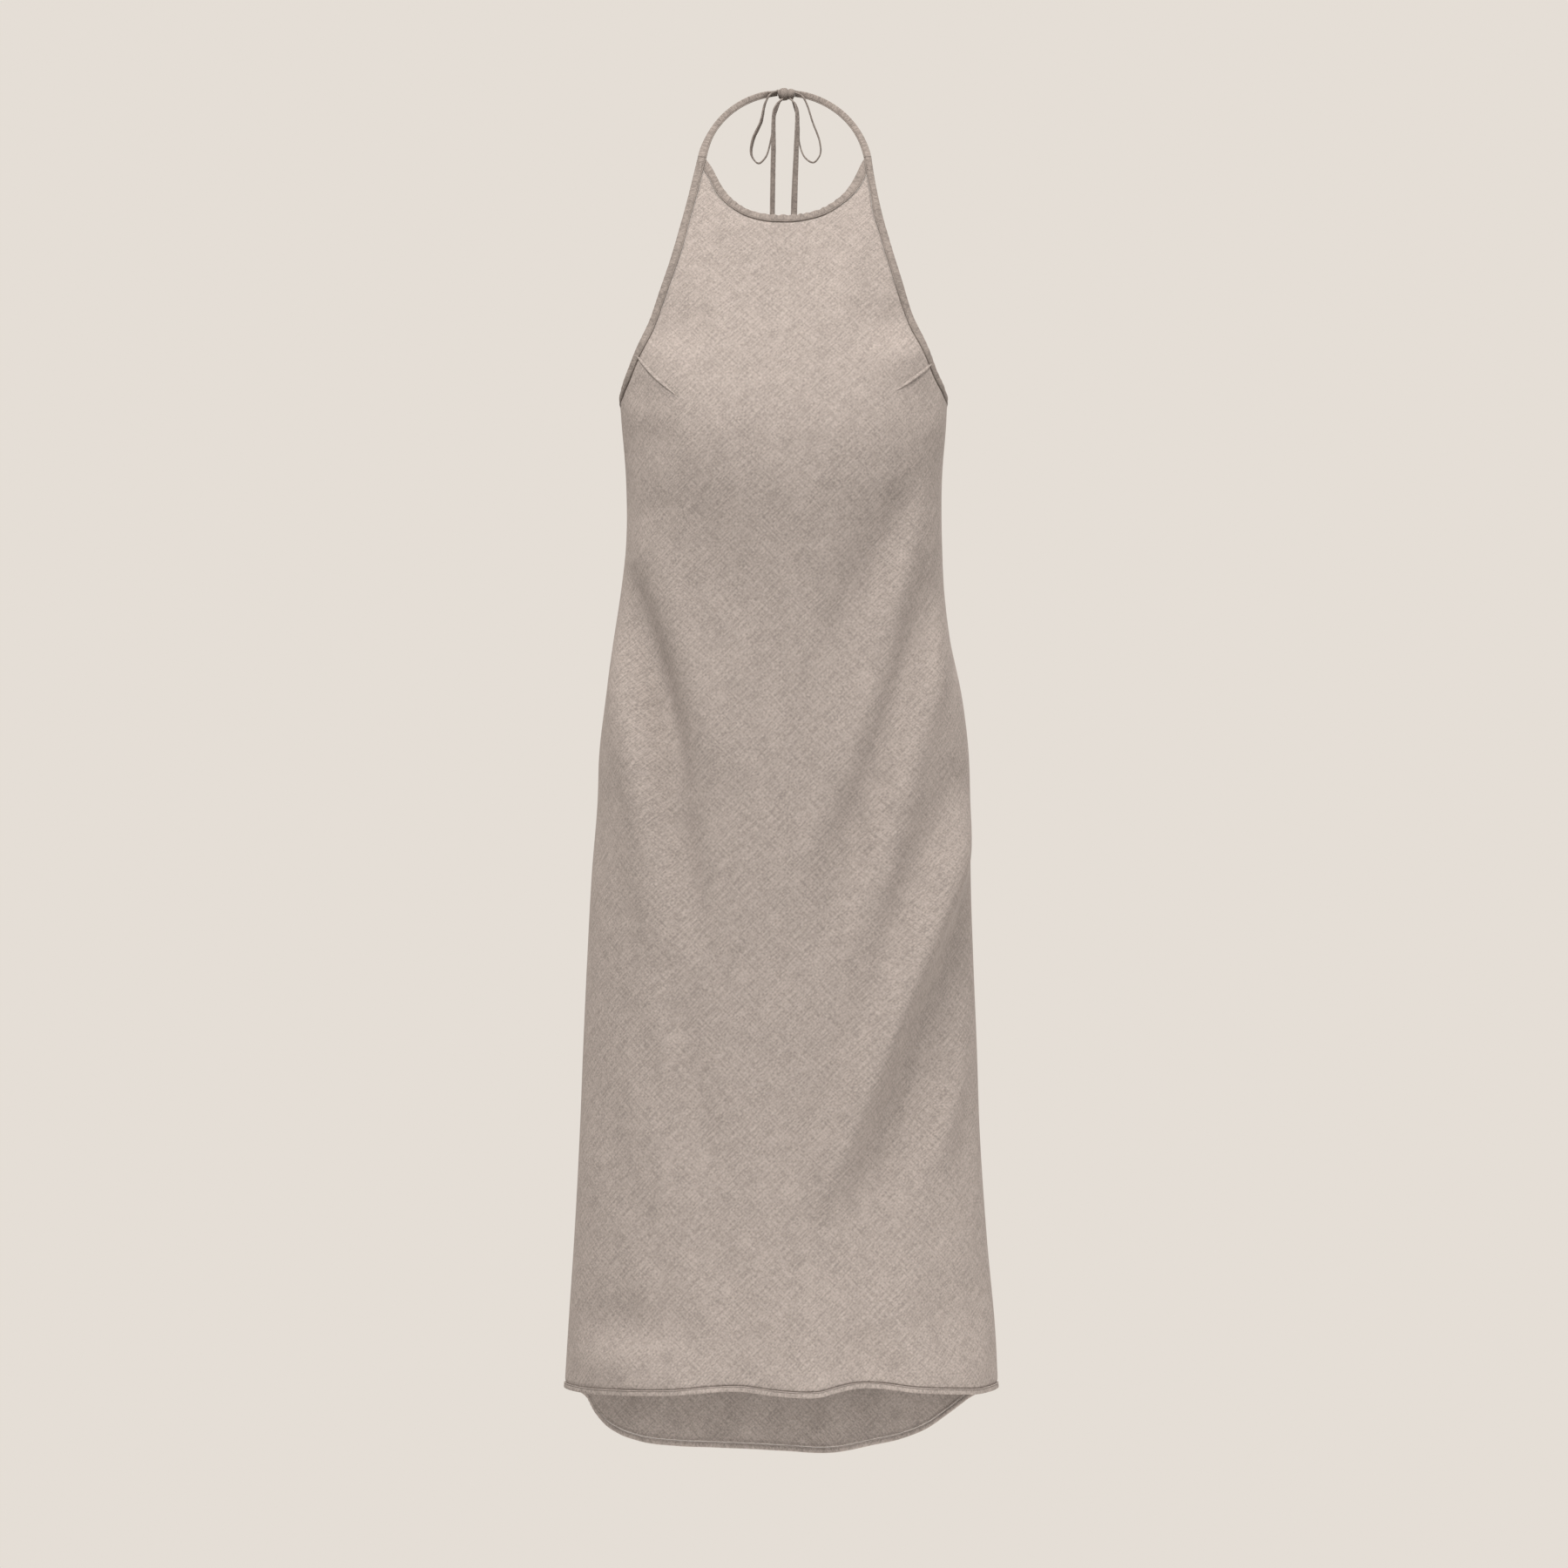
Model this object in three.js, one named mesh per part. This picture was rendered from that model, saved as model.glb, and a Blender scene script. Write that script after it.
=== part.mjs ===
import * as THREE from 'three';

// Halter dress of bias-cut linen, filled out with no wearer in it.
// Millimetres. It faces -Y, +Z is up, and the origin is the nape, where the neck loop is held.

// Cloth, bindings and ties
const CLOTH_WALL = 1.4;
const BINDING_WALL = 2.4;
const BINDING_WIDTH = 8.4;
const HEM_WALL = 2.4;
const HEM_WIDTH = 5.8;
const STRAP_WIDTH = 6.8;
const STRAP_WALL = 2.4;
const TIE_WALL = 1.6;
const SEAM_GAP = 0.3;

// Levels of the cut
const NECK_CORNER_Z = -74;
const UNDERARM_Z = -318;
const HEM_Z = -1318;
const BACK_SCOOP = 120;
const BACK_SCOOP_POWER = 1.35;

// Each level section is a rounded oval in two halves, front and back of the side seams
const OVAL_POWER = 2.2;
const BODY = [
  { z: -60, left: 147, right: 147, seamY: -56, front: 14, back: 60 },
  { z: -74, left: 150, right: 150, seamY: -58, front: 20, back: 62 },
  { z: -141, left: 165, right: 163, seamY: -62, front: 58, back: 70 },
  { z: -206, left: 175, right: 172, seamY: -72, front: 81, back: 78 },
  { z: -268, left: 172, right: 170, seamY: -85, front: 96, back: 82 },
  { z: -318, left: 165.4, right: 164.4, seamY: -95, front: 103, back: 84 },
  { z: -345, left: 163.2, right: 163, seamY: -99, front: 105.5, back: 85 },
  { z: -398, left: 158.8, right: 158.8, seamY: -103, front: 107, back: 83 },
  { z: -473, left: 158.8, right: 158.8, seamY: -106, front: 97, back: 80 },
  { z: -517, left: 164, right: 161, seamY: -105, front: 93, back: 84 },
  { z: -561, left: 170.7, right: 166.3, seamY: -102, front: 94, back: 91 },
  { z: -619, left: 178.6, right: 178.5, seamY: -98, front: 99, back: 102 },
  { z: -677, left: 185.7, right: 185.7, seamY: -95, front: 104, back: 110 },
  { z: -727, left: 187.6, right: 187.4, seamY: -94, front: 105, back: 112 },
  { z: -797, left: 193.2, right: 187.8, seamY: -94, front: 104, back: 111 },
  { z: -884, left: 198, right: 190.5, seamY: -93, front: 103, back: 108 },
  { z: -971, left: 202, right: 194, seamY: -93, front: 102, back: 105 },
  { z: -1059, left: 205.5, right: 197, seamY: -93, front: 102, back: 104 },
  { z: -1167, left: 211.2, right: 204.2, seamY: -93, front: 103, back: 104 },
  { z: -1265, left: 217.7, right: 213, seamY: -93, front: 104, back: 105 },
  { z: -1318, left: 220.9, right: 215.5, seamY: -93, front: 104, back: 106 },
  { z: -1400, left: 225, right: 219, seamY: -93, front: 105, back: 107 },
];

// The left side seam swings forward below the underarm, so a sliver of the back shows there
const SEAM_SWING = [
  { z: -300, left: 0, right: 0 },
  { z: -330, left: 7, right: 1 },
  { z: -352, left: 13, right: 2 },
  { z: -378, left: 10, right: 1 },
  { z: -402, left: 1, right: 0 },
  { z: -440, left: 0, right: 0 },
];

// Armhole edge, half width of the front at each level
const ARMHOLE = [
  { z: -74, left: 87.4, right: 88.6 },
  { z: -92, left: 91.4, right: 91 },
  { z: -129, left: 100, right: 97.8 },
  { z: -166, left: 109.6, right: 107.6 },
  { z: -202, left: 120.7, right: 118 },
  { z: -237, left: 132.6, right: 129.5 },
  { z: -273, left: 145.6, right: 143 },
  { z: -298, left: 155.4, right: 153 },
  { z: -311, left: 161, right: 159.4 },
];

// Neckline, half width at each depth below the neck corners
const NECKLINE = [
  { down: 0, left: 81, right: 82 },
  { down: 8.5, left: 74.5, right: 77.5 },
  { down: 18, left: 69.5, right: 73.2 },
  { down: 28, left: 64.6, right: 68 },
  { down: 37.5, left: 58.6, right: 61.4 },
  { down: 47, left: 50, right: 51.2 },
  { down: 56, left: 37, right: 36.4 },
  { down: 61, left: 19.5, right: 18.8 },
];
const NECKLINE_DEPTH = 62.4;

// Hem waves: how far the edge lies above or below its level, across the front and the back
const FRONT_HEM = [
  { side: -222, rise: 0 },
  { side: -200, rise: -1 },
  { side: -150, rise: 0 },
  { side: -110, rise: 1 },
  { side: -68, rise: 4 },
  { side: -40, rise: 4.5 },
  { side: -18, rise: 2 },
  { side: 8, rise: 0 },
  { side: 36, rise: 0 },
  { side: 54, rise: 4 },
  { side: 75, rise: 7 },
  { side: 98, rise: 6.5 },
  { side: 132, rise: 2.5 },
  { side: 165, rise: 0 },
  { side: 200, rise: -2 },
  { side: 217, rise: 0 },
];
const BACK_HEM = [
  { side: -223, rise: 0 },
  { side: -213, rise: -6 },
  { side: -205, rise: -11 },
  { side: -199, rise: -17 },
  { side: -193, rise: -29 },
  { side: -183, rise: -43 },
  { side: -168, rise: -55 },
  { side: -149, rise: -63 },
  { side: -107, rise: -70 },
  { side: -70, rise: -73 },
  { side: 0, rise: -77 },
  { side: 45, rise: -78 },
  { side: 88, rise: -70 },
  { side: 119, rise: -63 },
  { side: 149, rise: -49 },
  { side: 166, rise: -35 },
  { side: 186, rise: -19 },
  { side: 201, rise: -9 },
  { side: 217, rise: 0 },
];

// Largest folds: soft ridges (height above 0) and troughs (below 0), each along a bowed line
const FRONT_FOLDS = [
  { fromX: 134, fromZ: -410, toX: 48, toZ: -700, bow: 8, width: 24, height: -7 },
  { fromX: 156, fromZ: -480, toX: 78, toZ: -760, bow: 8, width: 22, height: 6 },
  { fromX: 172, fromZ: -530, toX: 112, toZ: -760, bow: 6, width: 16, height: -5 },
  { fromX: 197, fromZ: -767, toX: 18, toZ: -1167, bow: -6, width: 24, height: 10 },
  { fromX: 216, fromZ: -835, toX: 54, toZ: -1215, bow: -6, width: 25, height: -8 },
  { fromX: 200, fromZ: -1020, toX: 130, toZ: -1210, bow: 5, width: 20, height: -5 },
  { fromX: -158, fromZ: -490, toX: -104, toZ: -700, bow: -6, width: 18, height: -5 },
  { fromX: -178, fromZ: -560, toX: -128, toZ: -760, bow: -6, width: 20, height: 5 },
  { fromX: -138, fromZ: -680, toX: -78, toZ: -860, bow: -6, width: 22, height: -4 },
  { fromX: -176, fromZ: -900, toX: -70, toZ: -1130, bow: -8, width: 26, height: -4 },
  { fromX: 30, fromZ: -380, toX: 0, toZ: -620, bow: 0, width: 40, height: 3 },
  { fromX: -52, fromZ: -1120, toX: -50, toZ: -1520, bow: 0, width: 28, height: -7 },
  { fromX: 78, fromZ: -1140, toX: 88, toZ: -1500, bow: 0, width: 28, height: -11 },
  { fromX: 20, fromZ: -1130, toX: 22, toZ: -1510, bow: 0, width: 26, height: 5 },
  { fromX: -140, fromZ: -1190, toX: -136, toZ: -1450, bow: 0, width: 36, height: 5 },
];
const BACK_FOLDS = [
  { fromX: 138, fromZ: -450, toX: 40, toZ: -720, bow: 10, width: 26, height: -6 },
  { fromX: -142, fromZ: -440, toX: -46, toZ: -690, bow: -9, width: 24, height: -7 },
  { fromX: -160, fromZ: -520, toX: -84, toZ: -760, bow: -7, width: 22, height: 5 },
  { fromX: 166, fromZ: -600, toX: 84, toZ: -840, bow: 7, width: 24, height: 5 },
  { fromX: -178, fromZ: -780, toX: -30, toZ: -1150, bow: -12, width: 28, height: -9 },
  { fromX: -196, fromZ: -860, toX: -70, toZ: -1210, bow: -12, width: 26, height: 8 },
  { fromX: 176, fromZ: -860, toX: 62, toZ: -1160, bow: 9, width: 26, height: -6 },
  { fromX: 60, fromZ: -1180, toX: 66, toZ: -1560, bow: 0, width: 30, height: -9 },
  { fromX: -30, fromZ: -1180, toX: -34, toZ: -1560, bow: 0, width: 30, height: 6 },
  { fromX: -118, fromZ: -1200, toX: -122, toZ: -1560, bow: 0, width: 28, height: -7 },
  { fromX: 132, fromZ: -1200, toX: 136, toZ: -1560, bow: 0, width: 26, height: 5 },
];
// Folds die away towards the side seams, over this share of the half depth
const FOLD_FADE = 0.45;

// Fullness that the bust darts give the front
const BUST_SIDE = 88;
const BUST_Z = -352;
const BUST_SPREAD = 72;
const BUST_RISE = 10;

// How round the armhole's lowest stretch is
const UNDERARM_ROUND = 0.5;

// Neck loop: an arch seen from the front, leaning back from the neck corners to the nape
const ARCH_HALF_WIDTH = 86.5;
const ARCH_RISE = 90;
const ARCH_LEAN = 75 / 74;
// Share of a strap over which it turns from the armhole's line to the arch's
const STRAP_TURN_SHARE = 0.3;
const KNOT_LEFT_X = -6.3;
const KNOT_RIGHT_X = 10.7;
const KNOT_Z = -1.4;
const KNOT_RINGS = [
  { share: 0, deep: 4.4, high: 4 },
  { share: 0.08, deep: 6, high: 5.2 },
  { share: 0.2, deep: 6.6, high: 5.8 },
  { share: 0.24, deep: 7.4, high: 6.6 },
  { share: 0.52, deep: 7.4, high: 6.6 },
  { share: 0.56, deep: 6.6, high: 5.6 },
  { share: 0.9, deep: 6, high: 5 },
  { share: 1, deep: 4.6, high: 3.8 },
];

// Bow: centre lines of the two loops and two tails, with the turn of the flat tie in degrees
// (0 shows its edge to the front, 90 its face)
const LOOP_LEFT = [
  { x: -6.8, y: -6.2, z: 1.6, turn: 0 },
  { x: -14.2, y: -8, z: -2.4, turn: 0 },
  { x: -19.4, y: -7.6, z: -12, turn: 10 },
  { x: -23.4, y: -5.6, z: -30, turn: 20 },
  { x: -31.8, y: -3.6, z: -49, turn: 22 },
  { x: -33.2, y: -1.6, z: -64, turn: 14 },
  { x: -26.4, y: 0.2, z: -72.4, turn: 0 },
  { x: -18.8, y: 1.4, z: -66, turn: 0 },
  { x: -13.2, y: 2, z: -47, turn: 0 },
  { x: -10.2, y: 2.2, z: -27, turn: 0 },
  { x: -4, y: 1.8, z: -8, turn: 0 },
];
const LOOP_RIGHT = [
  { x: 11.2, y: -6.5, z: -0.4, turn: 0 },
  { x: 18.6, y: -8.4, z: -4.4, turn: 0 },
  { x: 23.4, y: -8, z: -13, turn: 0 },
  { x: 29.4, y: -5.2, z: -31, turn: 0 },
  { x: 36.4, y: -3.2, z: -50, turn: 0 },
  { x: 37, y: -1.4, z: -63.4, turn: 0 },
  { x: 30.2, y: 0.2, z: -71.4, turn: 0 },
  { x: 21.4, y: 1.4, z: -66, turn: 0 },
  { x: 15.8, y: 2, z: -51, turn: 0 },
  { x: 15, y: 2.2, z: -32, turn: 0 },
  { x: 8.6, y: 1.8, z: -7.4, turn: 0 },
];
const TAIL_LEFT = [
  { x: -2, y: -5.4, z: -7.4, turn: 30 },
  { x: -7, y: -7.6, z: -12.4, turn: 40 },
  { x: -9.8, y: -8, z: -20, turn: 44 },
  { x: -10.8, y: -7.6, z: -60, turn: 42 },
  { x: -11.8, y: -7.4, z: -120, turn: 44 },
  { x: -12.6, y: -7, z: -212, turn: 52 },
];
const TAIL_RIGHT = [
  { x: 6.8, y: -5.4, z: -7.2, turn: 30 },
  { x: 11.4, y: -7.6, z: -12, turn: 42 },
  { x: 13.4, y: -8, z: -20, turn: 46 },
  { x: 12.6, y: -7.6, z: -60, turn: 44 },
  { x: 10.6, y: -7.4, z: -112, turn: 66 },
  { x: 9, y: -7, z: -206, turn: 80 },
];

// Steps of the meshes. Skirt rows lie closer together towards the bust
const SKIRT_EASE = 1.3;
const PANEL_COLUMNS = 24;
const SKIRT_ROWS = 30;
const BIB_ROWS = 12;
const BINDING_TOP_STEPS = 2;
const STRAP_STEPS = 22;
const LOOP_STEPS = 26;
const TAIL_STEPS = 18;
const KNOT_SIDES = 14;
const DENSE_STEPS = 240;

const LEFT = -1;
const RIGHT = 1;
const QUARTER_TURN = Math.PI / 2;

const sideName = (side) => (side < 0 ? 'left' : 'right');
const clamp = THREE.MathUtils.clamp;
const lerp = THREE.MathUtils.lerp;

// Smooth curve through a table's column, read at one value of its key column
function readTable(rows, key, column, at) {
  const ascending = rows[rows.length - 1][key] > rows[0][key];
  const list = ascending ? rows : [...rows].reverse();
  const last = list.length - 1;
  const place = clamp(at, list[0][key], list[last][key]);
  let index = 0;
  while (index < last - 1 && place > list[index + 1][key]) {
    index += 1;
  }
  const gap = (i) => list[i + 1][key] - list[i][key];
  const rise = (i) => (list[i + 1][column] - list[i][column]) / gap(i);
  const slope = (i) => {
    const before = Math.max(i - 1, 0);
    const after = Math.min(i, last - 1);
    return (rise(before) * gap(after) + rise(after) * gap(before)) / (gap(before) + gap(after));
  };
  const start = list[index];
  const end = list[index + 1];
  const span = end[key] - start[key];
  const t = (place - start[key]) / span;
  const t2 = t * t;
  const t3 = t2 * t;
  return (2 * t3 - 3 * t2 + 1) * start[column]
    + (t3 - 2 * t2 + t) * span * slope(index)
    + (3 * t2 - 2 * t3) * end[column]
    + (t3 - t2) * span * slope(index + 1);
}

function bodyAt(z) {
  const row = {};
  for (const column of ['left', 'right', 'seamY', 'front', 'back']) {
    row[column] = readTable(BODY, 'z', column, z);
  }
  return row;
}

function foldHeight(folds, x, z) {
  let height = 0;
  for (const fold of folds) {
    const runX = fold.toX - fold.fromX;
    const runZ = fold.toZ - fold.fromZ;
    const length = Math.hypot(runX, runZ);
    const along = ((x - fold.fromX) * runX + (z - fold.fromZ) * runZ) / (length * length);
    if (along > 0 && along < 1) {
      const aside = ((x - fold.fromX) * runZ - (z - fold.fromZ) * runX) / length;
      const off = (aside - fold.bow * 4 * along * (1 - along)) / fold.width;
      height += fold.height * Math.exp(-off * off) * Math.sin(Math.PI * along);
    }
  }
  return height;
}

function bustFullness(x, z) {
  const aside = (Math.abs(x) - BUST_SIDE) / BUST_SPREAD;
  const above = (z - BUST_Z) / BUST_SPREAD;
  return BUST_RISE * Math.exp(-aside * aside - above * above);
}

// A point of the cloth: turn is the angle round the oval, 0 at centre front, 90 degrees at the
// right side seam and 180 at centre back
function skinPoint(turn, z) {
  const row = bodyAt(z);
  const across = Math.sin(turn);
  const toFront = Math.cos(turn) >= 0;
  const half = across < 0 ? row.left : row.right;
  const depth = toFront ? row.front : row.back;
  const reach = Math.pow(Math.max(0, 1 - Math.pow(Math.abs(across), OVAL_POWER)), 1 / OVAL_POWER);
  const x = half * across;
  const y = row.seamY + (toFront ? -depth : depth) * reach;
  const lift = toFront
    ? foldHeight(FRONT_FOLDS, x, z) + bustFullness(x, z)
    : foldHeight(BACK_FOLDS, x, z);
  const fade = THREE.MathUtils.smoothstep(Math.abs(Math.cos(turn)), 0, FOLD_FADE);
  const out = new THREE.Vector2(x / (half * half), (y - row.seamY) / (depth * depth)).normalize();
  return new THREE.Vector3(x + out.x * lift * fade, y + out.y * lift * fade, z);
}

const TURN_STEP = 0.01;
const LEVEL_STEP = 2;
const RUN_STEP = 0.01;

function skinNormal(turn, z) {
  const round = skinPoint(turn + TURN_STEP, z).sub(skinPoint(turn - TURN_STEP, z));
  const up = skinPoint(turn, z + LEVEL_STEP).sub(skinPoint(turn, z - LEVEL_STEP));
  return round.cross(up).normalize();
}

// The mark (turn and level) of a point that lies on or near the cloth
function markAt(point) {
  const row = bodyAt(point.z);
  const half = point.x < 0 ? row.left : row.right;
  const toFront = point.y <= row.seamY;
  const depth = toFront ? row.front : row.back;
  const across = Math.abs(point.x) / half;
  const away = Math.abs(point.y - row.seamY) / depth;
  const radius = Math.pow(Math.pow(across, OVAL_POWER) + Math.pow(away, OVAL_POWER), 1 / OVAL_POWER);
  const quarter = Math.asin(clamp(across / radius, 0, 1));
  const side = point.x < 0 ? LEFT : RIGHT;
  return { turn: side * (toFront ? quarter : Math.PI - quarter), z: point.z };
}

function seamTurn(side, z) {
  const swing = readTable(SEAM_SWING, 'z', sideName(side), z);
  return side * (QUARTER_TURN - THREE.MathUtils.degToRad(swing));
}

// Half the seam's gap as an angle, for the edge of a panel at its side seam
function gapTurn(turn, z) {
  const run = skinPoint(turn + TURN_STEP, z).distanceTo(skinPoint(turn - TURN_STEP, z));
  return (SEAM_GAP / 2) * (2 * TURN_STEP / run);
}

// Marks beside a line of marks, moved over the cloth by a distance to the left of its run
function besideMarks(marks, distance) {
  const points = marks.map((mark) => skinPoint(mark.turn, mark.z));
  return marks.map((mark, i) => {
    const before = points[Math.max(i - 1, 0)];
    const after = points[Math.min(i + 1, points.length - 1)];
    const run = after.clone().sub(before).normalize();
    const inward = skinNormal(mark.turn, mark.z).cross(run).normalize();
    return markAt(points[i].clone().addScaledVector(inward, distance));
  });
}

// Marks spaced evenly along a line of marks
function spreadMarks(marks, steps) {
  const lengths = [0];
  for (let i = 1; i < marks.length; i += 1) {
    const from = skinPoint(marks[i - 1].turn, marks[i - 1].z);
    const to = skinPoint(marks[i].turn, marks[i].z);
    lengths.push(lengths[i - 1] + from.distanceTo(to));
  }
  const total = lengths[lengths.length - 1];
  const result = [];
  for (let step = 0; step <= steps; step += 1) {
    const goal = total * step / steps;
    let i = 1;
    while (i < marks.length - 1 && lengths[i] < goal) {
      i += 1;
    }
    const t = clamp((goal - lengths[i - 1]) / (lengths[i] - lengths[i - 1]), 0, 1);
    result.push({
      turn: lerp(marks[i - 1].turn, marks[i].turn, t),
      z: lerp(marks[i - 1].z, marks[i].z, t),
    });
  }
  return result;
}

// Closed mesh from faces that are lists of points
function meshFromFaces(faces) {
  const positions = [];
  for (const face of faces) {
    for (let i = 1; i < face.length - 1; i += 1) {
      for (const point of [face[0], face[i], face[i + 1]]) {
        positions.push(point.x, point.y, point.z);
      }
    }
  }
  const geometry = new THREE.BufferGeometry();
  geometry.setAttribute('position', new THREE.Float32BufferAttribute(positions, 3));
  geometry.computeVertexNormals();
  return geometry;
}

// Wall from a grid of marks: rows run up, columns run from left to right as seen from outside
function wallGeometry(grid, wall) {
  const outer = [];
  const inner = [];
  for (const row of grid) {
    const points = row.map((mark) => skinPoint(mark.turn, mark.z));
    const normals = row.map((mark) => skinNormal(mark.turn, mark.z));
    outer.push(points.map((point, i) => point.clone().addScaledVector(normals[i], wall / 2)));
    inner.push(points.map((point, i) => point.clone().addScaledVector(normals[i], -wall / 2)));
  }
  const lastRow = grid.length - 1;
  const lastColumn = grid[0].length - 1;
  const faces = [];
  for (let r = 0; r < lastRow; r += 1) {
    for (let c = 0; c < lastColumn; c += 1) {
      faces.push([outer[r][c], outer[r][c + 1], outer[r + 1][c + 1], outer[r + 1][c]]);
      faces.push([inner[r][c], inner[r + 1][c], inner[r + 1][c + 1], inner[r][c + 1]]);
    }
    faces.push([outer[r][0], outer[r + 1][0], inner[r + 1][0], inner[r][0]]);
    faces.push([
      outer[r][lastColumn], inner[r][lastColumn], inner[r + 1][lastColumn], outer[r + 1][lastColumn],
    ]);
  }
  for (let c = 0; c < lastColumn; c += 1) {
    faces.push([outer[0][c], inner[0][c], inner[0][c + 1], outer[0][c + 1]]);
    faces.push([outer[lastRow][c], outer[lastRow][c + 1], inner[lastRow][c + 1], inner[lastRow][c]]);
  }
  return meshFromFaces(faces);
}

// Solid through rings of points, closed at both ends
function ringGeometry(rings) {
  const faces = [[...rings[0]].reverse(), rings[rings.length - 1]];
  for (let r = 0; r < rings.length - 1; r += 1) {
    const count = rings[r].length;
    for (let i = 0; i < count; i += 1) {
      const next = (i + 1) % count;
      faces.push([rings[r][i], rings[r][next], rings[r + 1][next], rings[r + 1][i]]);
    }
  }
  return meshFromFaces(faces);
}

// Edge lines of the front

function armholeOuterLine(side) {
  const name = sideName(side);
  const marks = [];
  for (let step = 0; step <= DENSE_STEPS; step += 1) {
    const z = lerp(UNDERARM_Z, NECK_CORNER_Z, step / DENSE_STEPS);
    const half = bodyAt(z)[name];
    const lowest = ARMHOLE[ARMHOLE.length - 1];
    const edge = z >= lowest.z
      ? readTable(ARMHOLE, 'z', name, z)
      : lerp(half, lowest[name], THREE.MathUtils.smoothstep(z, UNDERARM_Z, lowest.z) ** UNDERARM_ROUND);
    marks.push({ turn: side * Math.asin(clamp(edge / half, 0, 1)), z });
  }
  marks[0].turn = seamTurn(side, UNDERARM_Z);
  return marks;
}

function neckOuterLine() {
  const marks = [];
  const points = [
    ...NECKLINE.map((row) => new THREE.Vector2(-row.left, NECK_CORNER_Z - row.down)),
    new THREE.Vector2(0, NECK_CORNER_Z - NECKLINE_DEPTH),
    ...[...NECKLINE].reverse().map((row) => new THREE.Vector2(row.right, NECK_CORNER_Z - row.down)),
  ];
  const curve = new THREE.SplineCurve(points);
  for (let step = 0; step <= DENSE_STEPS; step += 1) {
    const point = curve.getPoint(step / DENSE_STEPS);
    const half = bodyAt(point.y)[sideName(point.x)];
    marks.push({ turn: Math.asin(clamp(point.x / half, -1, 1)), z: point.y });
  }
  return marks;
}

// The turn of a line of marks at a level, for a line that keeps climbing
function turnOnLine(marks, z) {
  let i = 1;
  while (i < marks.length - 1 && marks[i].z < z) {
    i += 1;
  }
  const t = clamp((z - marks[i - 1].z) / (marks[i].z - marks[i - 1].z), 0, 1);
  return lerp(marks[i - 1].turn, marks[i].turn, t);
}

const INNER_LINE = BINDING_WIDTH;
const PANEL_LINE = BINDING_WIDTH + SEAM_GAP;

// The armhole line runs up, so the panel lies to its left on the right side of the dress
function armholeLines(side) {
  const outer = armholeOuterLine(side);
  const panel = besideMarks(outer, side * PANEL_LINE);
  return { outer, panel };
}

const ARMHOLES = { left: armholeLines(LEFT), right: armholeLines(RIGHT) };

// Neck line and its panel edge, both cut off where they reach the armhole bindings
function insideArmholes(marks) {
  return marks.filter((mark) => {
    const line = ARMHOLES[sideName(mark.turn)].panel;
    return Math.abs(mark.turn) <= Math.abs(turnOnLine(line, mark.z));
  });
}

function onArmhole(side, z) {
  return { turn: turnOnLine(ARMHOLES[sideName(side)].panel, z), z };
}

const NECK_OUTER = neckOuterLine();
const NECK_PANEL = insideArmholes(besideMarks(NECK_OUTER, -PANEL_LINE));
const NECK_INNER = insideArmholes(besideMarks(NECK_OUTER, -INNER_LINE));
const NECK_EDGE = insideArmholes(NECK_OUTER);

// Armhole stations: from the underarm to the top corner of the panel, then on to the strap
function armholeStations(side) {
  const name = sideName(side);
  const { outer, panel } = ARMHOLES[name];
  const cornerZ = (side < 0 ? NECK_PANEL[0] : NECK_PANEL[NECK_PANEL.length - 1]).z;
  const split = panel.findIndex((mark, i) => i > 0 && mark.z >= cornerZ);
  const low = spreadMarks(outer.slice(0, split + 1), BIB_ROWS);
  const high = spreadMarks(outer.slice(split), BINDING_TOP_STEPS);
  const marks = [...low, ...high.slice(1)];
  const inner = besideMarks(marks, side * INNER_LINE);
  const edge = besideMarks(marks, side * PANEL_LINE);
  inner[0].turn = seamTurn(side, inner[0].z);
  edge[0].turn = seamTurn(side, edge[0].z);
  for (const line of [marks, inner, edge]) {
    line[0].turn -= side * gapTurn(line[0].turn, line[0].z);
  }
  return { outer: marks, inner, edge };
}

const STATIONS = { left: armholeStations(LEFT), right: armholeStations(RIGHT) };

// How far up the skirt a row lies. Both panels have the same rows, so their seam edges match
function rowShare(row) {
  return 1 - Math.pow(1 - row / SKIRT_ROWS, SKIRT_EASE);
}

// Front panel: skirt rows between the side seams, then bib rows up to the neckline
function frontGrid() {
  const top = spreadMarks(NECK_PANEL, PANEL_COLUMNS);
  top[0] = STATIONS.left.edge[BIB_ROWS];
  top[PANEL_COLUMNS] = STATIONS.right.edge[BIB_ROWS];
  const splitZ = Math.min(STATIONS.left.edge[0].z, STATIONS.right.edge[0].z);
  const grid = [];
  for (let r = 0; r < SKIRT_ROWS; r += 1) {
    const row = [];
    for (let c = 0; c <= PANEL_COLUMNS; c += 1) {
      row.push(frontSkirtMark(c / PANEL_COLUMNS, rowShare(r), splitZ));
    }
    grid.push(row);
  }
  const leftEdge = STATIONS.left.edge;
  const rightEdge = STATIONS.right.edge;
  const riseShare = (edge, r) => (edge[r].z - edge[0].z) / (edge[BIB_ROWS].z - edge[0].z);
  for (let r = 0; r <= BIB_ROWS; r += 1) {
    const row = [];
    for (let c = 0; c <= PANEL_COLUMNS; c += 1) {
      const across = c / PANEL_COLUMNS;
      const up = lerp(riseShare(leftEdge, r), riseShare(rightEdge, r), across);
      const topShare = (top[c].turn - top[0].turn) / (top[PANEL_COLUMNS].turn - top[0].turn);
      row.push({
        turn: lerp(leftEdge[r].turn, rightEdge[r].turn, lerp(across, topShare, up)),
        z: lerp(lerp(leftEdge[0].z, rightEdge[0].z, across), top[c].z, up),
      });
    }
    row[0] = leftEdge[r];
    row[PANEL_COLUMNS] = rightEdge[r];
    grid.push(row);
  }
  grid[grid.length - 1] = top;
  return grid;
}

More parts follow.
